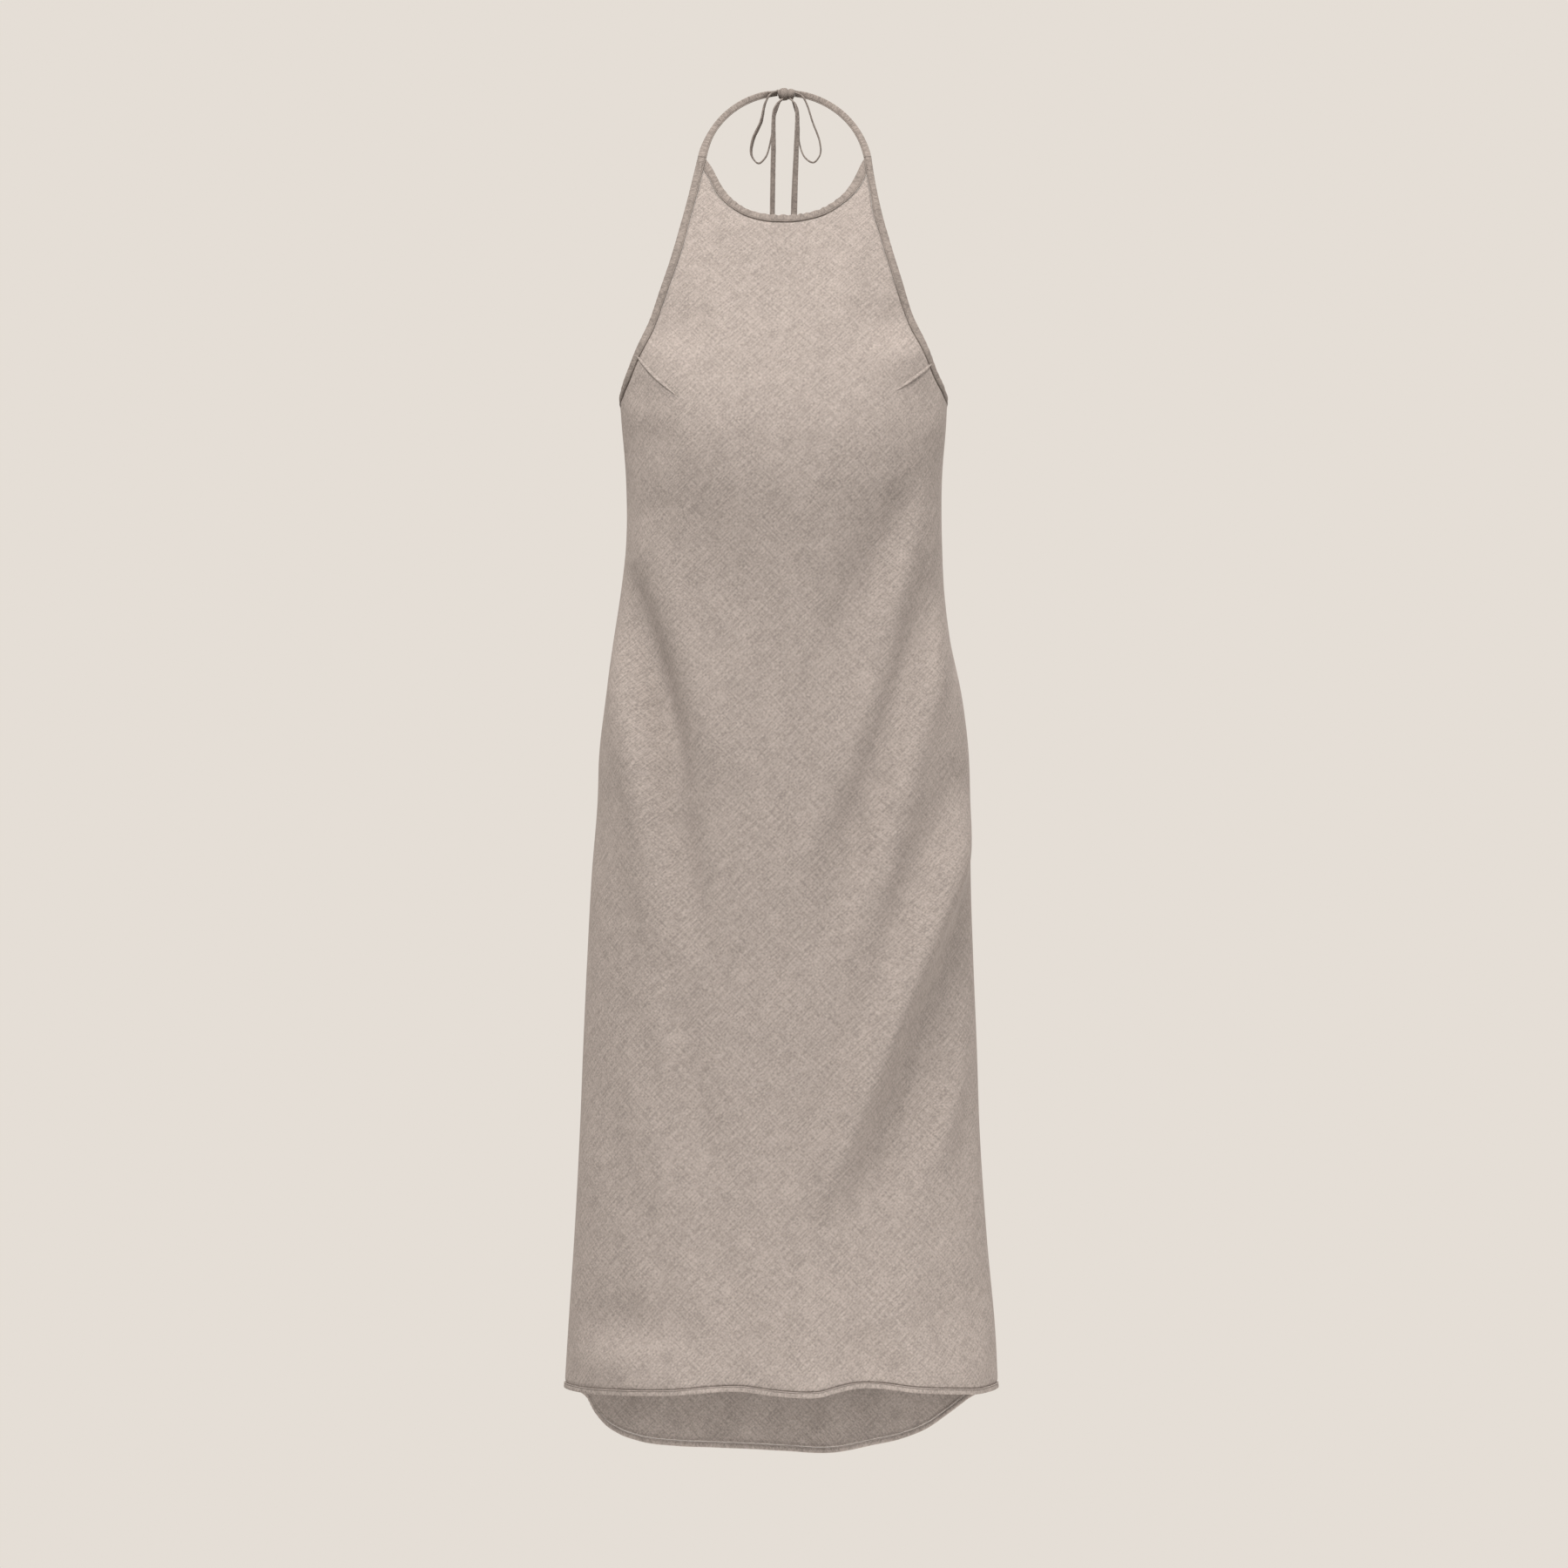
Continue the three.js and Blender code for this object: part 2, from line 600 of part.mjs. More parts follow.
function frontHemMark(across, above) {
  const level = HEM_Z + above;
  const turn = frontTurn(across, level);
  const x = skinPoint(turn, level).x;
  const z = level + readTable(FRONT_HEM, 'side', 'rise', x);
  return { turn: frontTurn(across, z), z };
}

function frontTurn(across, z) {
  const left = seamTurn(LEFT, z);
  const right = seamTurn(RIGHT, z);
  const gap = gapTurn(right, z);
  return lerp(left + gap, right - gap, across);
}

function frontSkirtMark(across, up, splitZ) {
  const hem = frontHemMark(across, HEM_WIDTH + SEAM_GAP);
  const z = lerp(hem.z, splitZ, up);
  return { turn: frontTurn(across, z), z };
}

// Back panel: from the right side seam round the back to the left one
function backTurn(across, z) {
  const right = seamTurn(RIGHT, z);
  const left = seamTurn(LEFT, z) + 2 * Math.PI;
  const gap = gapTurn(right, z);
  return lerp(right + gap, left - gap, across);
}

function backHemMark(across, above) {
  const level = HEM_Z + above;
  const x = skinPoint(backTurn(across, level), level).x;
  const z = level + readTable(BACK_HEM, 'side', 'rise', x);
  return { turn: backTurn(across, z), z };
}

function backTopMarks(down) {
  const marks = [];
  for (let c = 0; c <= PANEL_COLUMNS; c += 1) {
    const across = c / PANEL_COLUMNS;
    const turn = backTurn(across, UNDERARM_Z);
    const inward = Math.pow(Math.max(0, -Math.cos(turn)), BACK_SCOOP_POWER);
    const z = UNDERARM_Z - BACK_SCOOP * inward;
    marks.push({ turn: backTurn(across, z), z });
  }
  if (down === 0) {
    return marks;
  }
  return besideMarks(marks, -down).map((mark, c) => {
    const across = c / PANEL_COLUMNS;
    return { turn: backTurn(across, mark.z), z: mark.z };
  });
}

function backGrid() {
  const top = backTopMarks(PANEL_LINE);
  const grid = [];
  for (let r = 0; r <= SKIRT_ROWS; r += 1) {
    grid.push(top.map((mark, c) => {
      const across = c / PANEL_COLUMNS;
      const hem = backHemMark(across, HEM_WIDTH + SEAM_GAP);
      const z = lerp(hem.z, mark.z, rowShare(r));
      return { turn: backTurn(across, z), z };
    }));
  }
  return grid;
}

// Bands: two rows of marks, lower first, both from left to right as seen from outside
function frontHemGrid() {
  return [0, HEM_WIDTH].map((above) => acrossMarks((across) => frontHemMark(across, above)));
}

function backHemGrid() {
  return [0, HEM_WIDTH].map((above) => acrossMarks((across) => backHemMark(across, above)));
}

function acrossMarks(make) {
  return Array.from({ length: PANEL_COLUMNS + 1 }, (_, c) => make(c / PANEL_COLUMNS));
}

function armholeBindingGrid(side) {
  const { outer, inner } = STATIONS[sideName(side)];
  return outer.map((mark, i) => (side < 0 ? [mark, inner[i]] : [inner[i], mark]));
}

// The neck binding's ends lie along the armhole bindings
const CORNER_LIFT = 1;

function neckBindingGrid() {
  const lower = spreadMarks(NECK_INNER, PANEL_COLUMNS);
  const firstOuter = NECK_EDGE[0];
  const lastOuter = NECK_EDGE[NECK_EDGE.length - 1];
  const upper = squareAcross(lower);
  const leftEnd = onArmhole(LEFT, lower[0].z + CORNER_LIFT);
  const rightEnd = onArmhole(RIGHT, lower[PANEL_COLUMNS].z + CORNER_LIFT);
  return [[leftEnd, ...lower, rightEnd], [firstOuter, ...upper, lastOuter]];
}

// The marks of the neck edge that lie straight across the binding from its lower marks
function squareAcross(lower) {
  return lower.map((mark) => {
    const goal = skinPoint(mark.turn, mark.z);
    let nearest = NECK_EDGE[0];
    let least = Infinity;
    for (const edge of NECK_EDGE) {
      const distance = skinPoint(edge.turn, edge.z).distanceTo(goal);
      if (distance < least) {
        least = distance;
        nearest = edge;
      }
    }
    return nearest;
  });
}

// Straps: a flat band that goes on from the armhole binding, over the arch to the knot
function archPoint(side, angle) {
  const z = ARCH_RISE * (Math.sin(angle) - 1);
  return new THREE.Vector3(side * ARCH_HALF_WIDTH * Math.cos(angle), z * ARCH_LEAN, z);
}

function strapGeometry(side) {
  const { outer, inner } = STATIONS[sideName(side)];
  const outerMark = outer[outer.length - 1];
  const innerMark = inner[inner.length - 1];
  const outerEnd = skinPoint(outerMark.turn, outerMark.z);
  const innerEnd = skinPoint(innerMark.turn, innerMark.z);
  const startCentre = outerEnd.clone().add(innerEnd).multiplyScalar(0.5);
  const startAcross = outerEnd.clone().sub(innerEnd).normalize();
  const startWidth = outerEnd.distanceTo(innerEnd);
  const startAngle = Math.asin(1 + startCentre.z / ARCH_RISE);
  const knotX = side < 0 ? KNOT_LEFT_X - SEAM_GAP : KNOT_RIGHT_X + SEAM_GAP;
  const endAngle = Math.acos(Math.abs(knotX) / ARCH_HALF_WIDTH);
  const shift = startCentre.clone().sub(archPoint(side, startAngle));
  const centreAt = (t) => {
    const angle = lerp(startAngle, endAngle, t);
    const ease = 1 - THREE.MathUtils.smoothstep(t, 0, 1);
    return archPoint(side, angle).addScaledVector(shift, ease);
  };
  const rings = [];
  for (let step = 0; step <= STRAP_STEPS; step += 1) {
    const t = step / STRAP_STEPS;
    const angle = lerp(startAngle, endAngle, t);
    const run = centreAt(Math.min(t + RUN_STEP, 1)).sub(centreAt(Math.max(t - RUN_STEP, 0))).normalize();
    const facing = THREE.MathUtils.smoothstep(t, 0, STRAP_TURN_SHARE);
    const outward = new THREE.Vector3(
      side * Math.cos(angle) / ARCH_HALF_WIDTH, 0, Math.sin(angle) / ARCH_RISE,
    ).normalize();
    const across = startAcross.clone().lerp(outward, facing);
    across.addScaledVector(run, -across.dot(run)).normalize();
    const thick = run.clone().cross(across).normalize();
    const width = lerp(startWidth, STRAP_WIDTH, facing);
    rings.push(step === 0
      ? bandEndRing(outerMark, innerMark, run, thick)
      : bandRing(centreAt(t), across, thick, width, STRAP_WALL));
  }
  // The last section is square to the knot's end face
  for (const point of rings[STRAP_STEPS]) {
    point.x = knotX;
  }
  return ringGeometry(rings);
}

// The section where a band goes on from the end of a binding, moved on by the seam's gap
function bandEndRing(outerMark, innerMark, run, thick) {
  const corners = [[outerMark, 1], [innerMark, 1], [innerMark, -1], [outerMark, -1]];
  return corners.map(([mark, level]) => {
    const normal = skinNormal(mark.turn, mark.z);
    const facing = Math.sign(normal.dot(thick)) * level;
    return skinPoint(mark.turn, mark.z)
      .addScaledVector(normal, facing * BINDING_WALL / 2)
      .addScaledVector(run, SEAM_GAP);
  });
}

// Four corners of a flat band's section, in order round its run (across x thick)
function bandRing(centre, across, thick, width, wall) {
  const corners = [[1, 1], [-1, 1], [-1, -1], [1, -1]];
  return corners.map(([a, b]) => centre.clone()
    .addScaledVector(across, a * width / 2)
    .addScaledVector(thick, b * wall / 2));
}

// Eight corners of a flat tie's section, with eased edges
const TIE_EASE = 0.7;

function tieRing(centre, across, thick) {
  const wide = STRAP_WIDTH / 2;
  const low = TIE_WALL / 2;
  const corners = [
    [wide, low * (1 - TIE_EASE)], [wide * TIE_EASE, low],
    [-wide * TIE_EASE, low], [-wide, low * (1 - TIE_EASE)],
    [-wide, -low * (1 - TIE_EASE)], [-wide * TIE_EASE, -low],
    [wide * TIE_EASE, -low], [wide, -low * (1 - TIE_EASE)],
  ];
  return corners.map(([a, b]) => centre.clone()
    .addScaledVector(across, a)
    .addScaledVector(thick, b));
}

function tieGeometry(rows, steps) {
  const curve = new THREE.CatmullRomCurve3(rows.map((row) => new THREE.Vector3(row.x, row.y, row.z)));
  const rings = [];
  for (let step = 0; step <= steps; step += 1) {
    const along = curve.getUtoTmapping(step / steps);
    const centre = curve.getPoint(along);
    const run = curve.getTangent(along);
    const place = along * (rows.length - 1);
    const index = Math.min(Math.floor(place), rows.length - 2);
    const turn = THREE.MathUtils.degToRad(lerp(rows[index].turn, rows[index + 1].turn, place - index));
    const across = new THREE.Vector3(0, 1, 0).addScaledVector(run, -run.y).normalize();
    across.applyAxisAngle(run, turn);
    const thick = run.clone().cross(across).normalize();
    rings.push(tieRing(centre, across, thick));
  }
  return ringGeometry(rings);
}

// Knot: the loops and tails bound by a wrap, as rounded rings along its length
function knotGeometry() {
  const rings = KNOT_RINGS.map((row) => {
    const x = lerp(KNOT_LEFT_X, KNOT_RIGHT_X, row.share);
    return Array.from({ length: KNOT_SIDES }, (_, i) => {
      const angle = 2 * Math.PI * i / KNOT_SIDES;
      return new THREE.Vector3(x, row.deep * Math.cos(angle), KNOT_Z + row.high * Math.sin(angle));
    });
  });
  return ringGeometry(rings);
}

const LINEN = { color: 0xb3a79b, roughness: 0.92, metalness: 0 };
const LINEN_EDGE = { color: 0xa6998d, roughness: 0.94, metalness: 0 };

const dress = new THREE.Group();

function addPiece(name, geometry, finish) {
  const mesh = new THREE.Mesh(geometry, new THREE.MeshStandardMaterial(finish));
  mesh.name = name;
  dress.add(mesh);
}

addPiece('front', wallGeometry(frontGrid(), CLOTH_WALL), LINEN);
addPiece('back', wallGeometry(backGrid(), CLOTH_WALL), LINEN);
addPiece('neck_binding', wallGeometry(neckBindingGrid(), BINDING_WALL), LINEN_EDGE);
addPiece('armhole_binding_left', wallGeometry(armholeBindingGrid(LEFT), BINDING_WALL), LINEN_EDGE);
addPiece('armhole_binding_right', wallGeometry(armholeBindingGrid(RIGHT), BINDING_WALL), LINEN_EDGE);
addPiece('back_binding', wallGeometry([backTopMarks(INNER_LINE), backTopMarks(0)], BINDING_WALL), LINEN_EDGE);
addPiece('strap_left', strapGeometry(LEFT), LINEN_EDGE);
addPiece('strap_right', strapGeometry(RIGHT), LINEN_EDGE);
addPiece('knot', knotGeometry(), LINEN_EDGE);
addPiece('bow_loop_left', tieGeometry(LOOP_LEFT, LOOP_STEPS), LINEN_EDGE);
addPiece('bow_loop_right', tieGeometry(LOOP_RIGHT, LOOP_STEPS), LINEN_EDGE);
addPiece('tail_left', tieGeometry(TAIL_LEFT, TAIL_STEPS), LINEN_EDGE);
addPiece('tail_right', tieGeometry(TAIL_RIGHT, TAIL_STEPS), LINEN_EDGE);
addPiece('front_hem', wallGeometry(frontHemGrid(), HEM_WALL), LINEN);
addPiece('back_hem', wallGeometry(backHemGrid(), HEM_WALL), LINEN);

export default dress;
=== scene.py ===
"""Halter dress of bias-cut linen: the finished cloth, bindings, sewing and bow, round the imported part."""

import math

import bpy
import numpy as np
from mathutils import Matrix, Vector


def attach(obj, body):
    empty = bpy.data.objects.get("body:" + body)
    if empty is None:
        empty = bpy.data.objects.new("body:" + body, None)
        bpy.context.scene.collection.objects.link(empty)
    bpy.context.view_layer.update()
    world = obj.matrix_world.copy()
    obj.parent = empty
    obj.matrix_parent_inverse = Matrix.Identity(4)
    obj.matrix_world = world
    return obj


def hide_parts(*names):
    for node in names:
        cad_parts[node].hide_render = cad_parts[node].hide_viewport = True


bl_info = {
    "name": "Linen halter dress",
    "version": (1, 0, 0),
    "blender": (4, 5, 0),
    "location": "View3D > Sidebar > Halter dress",
    "description": "Makes the cloth, bindings, sewing and tied bow of a linen halter dress",
    "category": "Object",
}

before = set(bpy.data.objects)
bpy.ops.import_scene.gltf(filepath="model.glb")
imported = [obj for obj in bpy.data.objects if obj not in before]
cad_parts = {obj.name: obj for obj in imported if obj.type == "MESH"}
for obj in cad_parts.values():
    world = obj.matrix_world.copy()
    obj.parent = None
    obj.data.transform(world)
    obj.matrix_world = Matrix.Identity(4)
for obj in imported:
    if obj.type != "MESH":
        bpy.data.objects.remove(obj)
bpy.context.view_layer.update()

MM = 0.001
TINY = 1e-12
LEFT = -1
RIGHT = 1
SIDES = (LEFT, RIGHT)
SIDE_NAME = {LEFT: "left", RIGHT: "right"}
QUARTER = math.pi / 2

# Cut of the dress, in metres
SEAM_GAP = 0.3 * MM
BINDING_WIDTH = 8.4 * MM
HEM_WIDTH = 5.8 * MM
NECK_CORNER_Z = -74 * MM
UNDERARM_Z = -318 * MM
HEM_Z = -1318 * MM
BACK_SCOOP = 120 * MM
BACK_SCOOP_POWER = 1.35
UNDERARM_ROUND = 0.5
OVAL_POWER = 2.2
FOLD_FADE = 0.45
BUST_SIDE = 88 * MM
BUST_Z = -352 * MM
BUST_SPREAD = 72 * MM
BUST_RISE = 10 * MM
WALL_FADE = 0.7
TURN_STEP = 0.01
LEVEL_STEP = 2 * MM


def table(names, rows):
    """Columns of a table in metres, by name. Its rows are written in millimetres."""
    numbers = np.array(rows, float) * MM
    return {name: numbers[:, i] for i, name in enumerate(names)}


# Level sections of the body: half widths, side seam's place, and depths before and behind it
BODY = table(("z", "left", "right", "seam_y", "front", "back"), [
    (-60, 147, 147, -56, 14, 60),
    (-74, 150, 150, -58, 20, 62),
    (-141, 165, 163, -62, 58, 70),
    (-206, 175, 172, -72, 81, 78),
    (-268, 172, 170, -85, 96, 82),
    (-318, 165.4, 164.4, -95, 103, 84),
    (-345, 163.2, 163, -99, 105.5, 85),
    (-398, 158.8, 158.8, -103, 107, 83),
    (-473, 158.8, 158.8, -106, 97, 80),
    (-517, 164, 161, -105, 93, 84),
    (-561, 170.7, 166.3, -102, 94, 91),
    (-619, 178.6, 178.5, -98, 99, 102),
    (-677, 185.7, 185.7, -95, 104, 110),
    (-727, 187.6, 187.4, -94, 105, 112),
    (-797, 193.2, 187.8, -94, 104, 111),
    (-884, 198, 190.5, -93, 103, 108),
    (-971, 202, 194, -93, 102, 105),
    (-1059, 205.5, 197, -93, 102, 104),
    (-1167, 211.2, 204.2, -93, 103, 104),
    (-1265, 217.7, 213, -93, 104, 105),
    (-1318, 220.9, 215.5, -93, 104, 106),
    (-1400, 225, 219, -93, 105, 107),
])

# Armhole edge, half width of the front at each level
ARMHOLE = table(("z", "left", "right"), [
    (-74, 87.4, 88.6),
    (-92, 91.4, 91),
    (-129, 100, 97.8),
    (-166, 109.6, 107.6),
    (-202, 120.7, 118),
    (-237, 132.6, 129.5),
    (-273, 145.6, 143),
    (-298, 155.4, 153),
    (-311, 161, 159.4),
])

# Neckline, half width at each depth below the neck corners
NECKLINE = table(("down", "left", "right"), [
    (0, 81, 82),
    (8.5, 74.5, 77.5),
    (18, 69.5, 73.2),
    (28, 64.6, 68),
    (37.5, 58.6, 61.4),
    (47, 50, 51.2),
    (56, 37, 36.4),
    (61, 19.5, 18.8),
])
NECKLINE_DEPTH = 62.4 * MM

# Hem waves: how far the edge lies above or below its level, across the front and the back
FRONT_HEM = table(("side", "rise"), [
    (-222, 0), (-200, -1), (-150, 0), (-110, 1), (-68, 4), (-40, 4.5), (-18, 2), (8, 0),
    (36, 0), (54, 4), (75, 7), (98, 6.5), (132, 2.5), (165, 0), (200, -2), (217, 0),
])
BACK_HEM = table(("side", "rise"), [
    (-223, 0), (-213, -6), (-205, -11), (-199, -17), (-193, -29), (-183, -43), (-168, -55),
    (-149, -63), (-107, -70), (-70, -73), (0, -77), (45, -78), (88, -70), (119, -63),
    (149, -49), (166, -35), (186, -19), (201, -9), (217, 0),
])

# The left side seam swings forward below the underarm. Swings are in degrees
SWING_Z = np.array([-440, -402, -378, -352, -330, -300]) * MM
SWING = {
    LEFT: np.array([0, 1, 10, 13, 7, 0], float),
    RIGHT: np.array([0, 0, 1, 2, 1, 0], float),
}

# Ridges (height above 0) and troughs, each along a bowed line, in millimetres. The folds are the
# large ones, and the creases are the finer ones between them
FOLD_COLUMNS = ("from_x", "from_z", "to_x", "to_z", "bow", "width", "height")
FRONT_FOLDS = table(FOLD_COLUMNS, [
    (134, -410, 48, -700, 8, 24, -1),
    (156, -480, 78, -760, 8, 22, 6),
    (172, -530, 112, -760, 6, 16, -5),
    (197, -767, 18, -1167, -6, 24, 10),
    (216, -835, 54, -1215, -6, 25, -8),
    (200, -1020, 130, -1210, 5, 20, -5),
    (-158, -490, -104, -700, -6, 18, -5),
    (-178, -560, -128, -760, -6, 20, 5),
    (-138, -680, -78, -860, -6, 22, -4),
    (-176, -900, -70, -1130, -8, 26, -4),
    (30, -380, 0, -620, 0, 40, 3),
    (-52, -1120, -50, -1520, 0, 28, -7),
    (78, -1140, 88, -1500, 0, 28, -11),
    (20, -1130, 22, -1510, 0, 26, 5),
    (-140, -1190, -136, -1450, 0, 36, 5),
])
BACK_FOLDS = table(FOLD_COLUMNS, [
    (138, -450, 40, -720, 10, 26, -6),
    (-142, -440, -46, -690, -9, 24, -7),
    (-160, -520, -84, -760, -7, 22, 5),
    (166, -600, 84, -840, 7, 24, 5),
    (-178, -780, -30, -1150, -12, 28, -9),
    (-196, -860, -70, -1210, -12, 26, 8),
    (176, -860, 62, -1160, 9, 26, -6),
    (60, -1180, 66, -1560, 0, 30, -9),
    (-30, -1180, -34, -1560, 0, 30, 6),
    (-118, -1200, -122, -1560, 0, 28, -7),
    (132, -1200, 136, -1560, 0, 26, 5),
])
FRONT_CREASES = table(FOLD_COLUMNS, [
    (148, -352, 92, -520, 6, 11, -1.6),
    (152, -392, 104, -560, 5, 9, 1.4),
    (150, -440, 112, -620, 4, 10, -1.4),
    (-150, -352, -104, -500, -5, 11, -1.4),
    (-154, -420, -118, -590, -4, 9, 0.4),
    (-60, -330, -96, -350, 2, 8, -0.8),
    (96, -150, 66, -330, 4, 13, -1.1),
    (-92, -150, -70, -330, -4, 13, -1.1),
    (6, -140, 2, -300, 1, 10, -1.2),
    (-8, -130, -14, -360, 0, 32, -5),
    (-30, -142, -22, -260, -2, 11, 0.9),
    (40, -142, 32, -280, 2, 12, 0.8),
    (110, -640, 66, -900, 7, 13, -1.2),
    (170, -536, 112, -756, 6, 16, 4.4),
    (128, -700, 82, -940, 6, 11, 1.8),
    (92, -880, 40, -1080, 7, 12, -1.6),
    (148, -900, 92, -1120, 8, 12, -2.4),
    (166, -1090, 112, -1290, 6, 12, 2),
    (184, -1180, 150, -1330, 4, 11, -1.8),
    (-120, -560, -96, -780, -5, 12, -1.6),
    (-160, -760, -128, -960, -6, 12, 1.6),
    (-96, -820, -60, -1020, -5, 13, -1.2),
    (-150, -1000, -104, -1200, -5, 13, 1.4),
    (-180, -1130, -150, -1300, -4, 12, -1.4),
    (0, -700, -4, -1000, 3, 16, 1.2),
    (12, -1286, 34, -1322, 2, 5, -1.2),
    (22, -1280, 42, -1318, 2, 4, 1),
    (-96, -1284, -72, -1300, 2, 6, -0.9),
    (-120, -1292, -86, -1304, 2, 4.5, 0.7),
    (96, -1276, 128, -1298, 2, 7, -0.9),
    (150, -1270, 186, -1296, 3, 6, 0.8),
    (-188, -1264, -160, -1300, 3, 6, 0.8),
    (46, -1250, 58, -1316, 1, 7, -1),
])
BACK_CREASES = table(FOLD_COLUMNS, [
    (104, -430, 60, -600, 6, 11, -1.6),
    (-104, -430, -64, -590, -6, 11, -1.5),
    (60, -448, 30, -640, 4, 11, 1.3),
    (-56, -448, -30, -620, -4, 12, 1.2),
    (0, -452, 4, -620, 0, 12, -1.4),
    (146, -560, 98, -760, 6, 12, 1.6),
    (-130, -620, -84, -820, -6, 12, -1.8),
    (-150, -700, -100, -930, -6, 12, 1.5),
    (110, -760, 60, -980, 6, 13, -1.7),
    (140, -980, 96, -1180, 5, 13, 1.6),
    (-96, -900, -40, -1120, -6, 13, -1.7),
    (-150, -1060, -110, -1260, -5, 12, 1.6),
    (20, -1010, 26, -1250, 2, 14, -1.4),
    (-72, -1300, -64, -1400, 2, 7, -1),
    (24, -1310, 34, -1400, 2, 7, 1),
    (108, -1280, 118, -1380, 2, 7, -1),
    (182, -1284, 200, -1330, 3, 5, 1.6),
    (172, -1290, 190, -1340, 3, 5, -1.6),
])

# Drag lines: each is a soft step in the cloth beside a line that is written downwards. Its left
# side lies lower where the height is above 0, and higher where it is below 0
FRONT_WALLS = table(FOLD_COLUMNS, [
    (148, -462, 20, -830, -2, 14, -4.4),
    (170, -540, 146, -690, 2, 8, -0.8),
    (218, -727, 44, -1152, 13, 22, -17),
    (190, -930, 172, -1150, 3, 10, -2),
    (134, -424, 66, -590, 3, 16, 4.6),
    (128, -384, 96, -440, 2, 12, -1),
    (160, -500, 40, -900, -10, 15, 8),
    (190, -690, 20, -1130, -5, 16, 9),
    (178, -980, 132, -1132, 3, 10, 2.4),
    (-162, -450, -80, -720, 1, 26, 7.6),
    (-174, -490, -104, -890, -7, 18, -11),
    (-176, -900, -150, -1140, -2, 20, 2.4),
    (-128, -880, -80, -1130, -3, 16, -4),
    (-106, -960, -52, -1140, -4, 14, 1),
    (-60, -560, -44, -760, -2, 14, 1.2),
    (52, -470, 30, -640, 2, 13, -1.6),
    (7, -146, 6, -226, 0, 5, 0.9),
    (-152, -298, -96, -326, 2, 13, 1.8),
    (-146, -256, -80, -280, 0, 20, -5),
    (70, -274, 142, -258, 0, 20, -6),
    (-214, -1266, -84, -1276, 0, 25, -8),
    (-24, -1290, 28, -1290, 0, 12, -2.4),
    (106, -1262, 206, -1274, 0, 25, -6.4),
    (44, -1256, 128, -1268, 0, 24, 3.4),
    (-158, -340, -92, -352, 0, 22, 3.4),
    (112, -338, 160, -344, 0, 18, -0.6),
])
BACK_WALLS = table(FOLD_COLUMNS, [
    (136, -480, 24, -830, 4, 14, 5),
    (-140, -470, -40, -780, -5, 13, -4.2),
    (-158, -560, -96, -800, -5, 12, 3.6),
    (150, -640, 70, -960, 5, 13, -4.4),
    (-184, -840, -50, -1180, -6, 16, 7),
    (-150, -830, -30, -1130, -6, 13, -4.4),
    (176, -900, 70, -1200, 5, 14, 5),
    (60, -1190, 62, -1380, 0, 16, 5),
    (-50, -1200, -46, -1380, 0, 16, -5),
    (148, -1230, 154, -1370, 0, 14, 4),
    (-148, -1240, -156, -1370, 0, 14, -4),
])

# Slow unevenness all over the cloth: wave lengths across and up and height, in millimetres,
# and the start of each wave, in radians
RIPPLES = (
    (61, 143, 0.34, 0.3),
    (-47, 118, 0.28, 2.1),
    (38, 96, 0.16, 4.2),
    (-29, 71, 0.12, 1.3),
    (23, -57, 0.09, 5.2),
)

# Bow: centre lines of the two loops and two tails, with the turn of the flat tie in degrees
LOOP_LEFT = [
    (-6.8, -6.2, 1.6, 0), (-14.2, -8, -2.4, 0), (-19.4, -7.6, -12, 10), (-23.4, -5.6, -30, 20),
    (-31.8, -3.6, -49, 22), (-33.2, -1.6, -64, 14), (-26.4, 0.2, -72.4, 0), (-18.8, 1.4, -66, 0),
    (-13.2, 2, -47, 0), (-10.2, 2.2, -27, 0), (-4, 1.8, -8, 0),
]
LOOP_RIGHT = [
    (11.2, -6.5, -0.4, 0), (18.6, -8.4, -4.4, 0), (23.4, -8, -13, 0), (29.4, -5.2, -31, 0),
    (36.4, -3.2, -50, 0), (37, -1.4, -63.4, 0), (30.2, 0.2, -71.4, 0), (21.4, 1.4, -66, 0),
    (15.8, 2, -51, 0), (15, 2.2, -32, 0), (8.6, 1.8, -7.4, 0),
]
TAIL_LEFT = [
    (-2, -5.4, -7.4, 4), (-7, -7.6, -12.4, 8), (-9.8, -8, -20, 26), (-10.8, -7.6, -60, 42),
    (-11.8, -7.4, -120, 44), (-12.6, -7, -212, 52),
]
TAIL_RIGHT = [
    (6.8, -5.4, -7.2, 4), (11.4, -7.6, -12, 10), (13.4, -8, -20, 30), (12.6, -7.6, -60, 44),
    (10.6, -7.4, -112, 66), (9, -7, -206, 80),
]
ARCH_HALF_WIDTH = 86.5 * MM
ARCH_RISE = 90 * MM
ARCH_LEAN = 75 / 74
KNOT_X = {LEFT: -6.3 * MM, RIGHT: 10.7 * MM}
KNOT_Z = -1.4 * MM
STRAP_TURN_SHARE = 0.3

# Bar tacks: which stations of the armhole lines they cross, how far across, and their height
BAR_TACK_STATIONS = (-8, -7, -6)
BAR_TACK_SHARES = (0.06, 0.9)
BAR_TACK_STEPS = 12
BAR_TACK_HEIGHT = 1.15 * MM

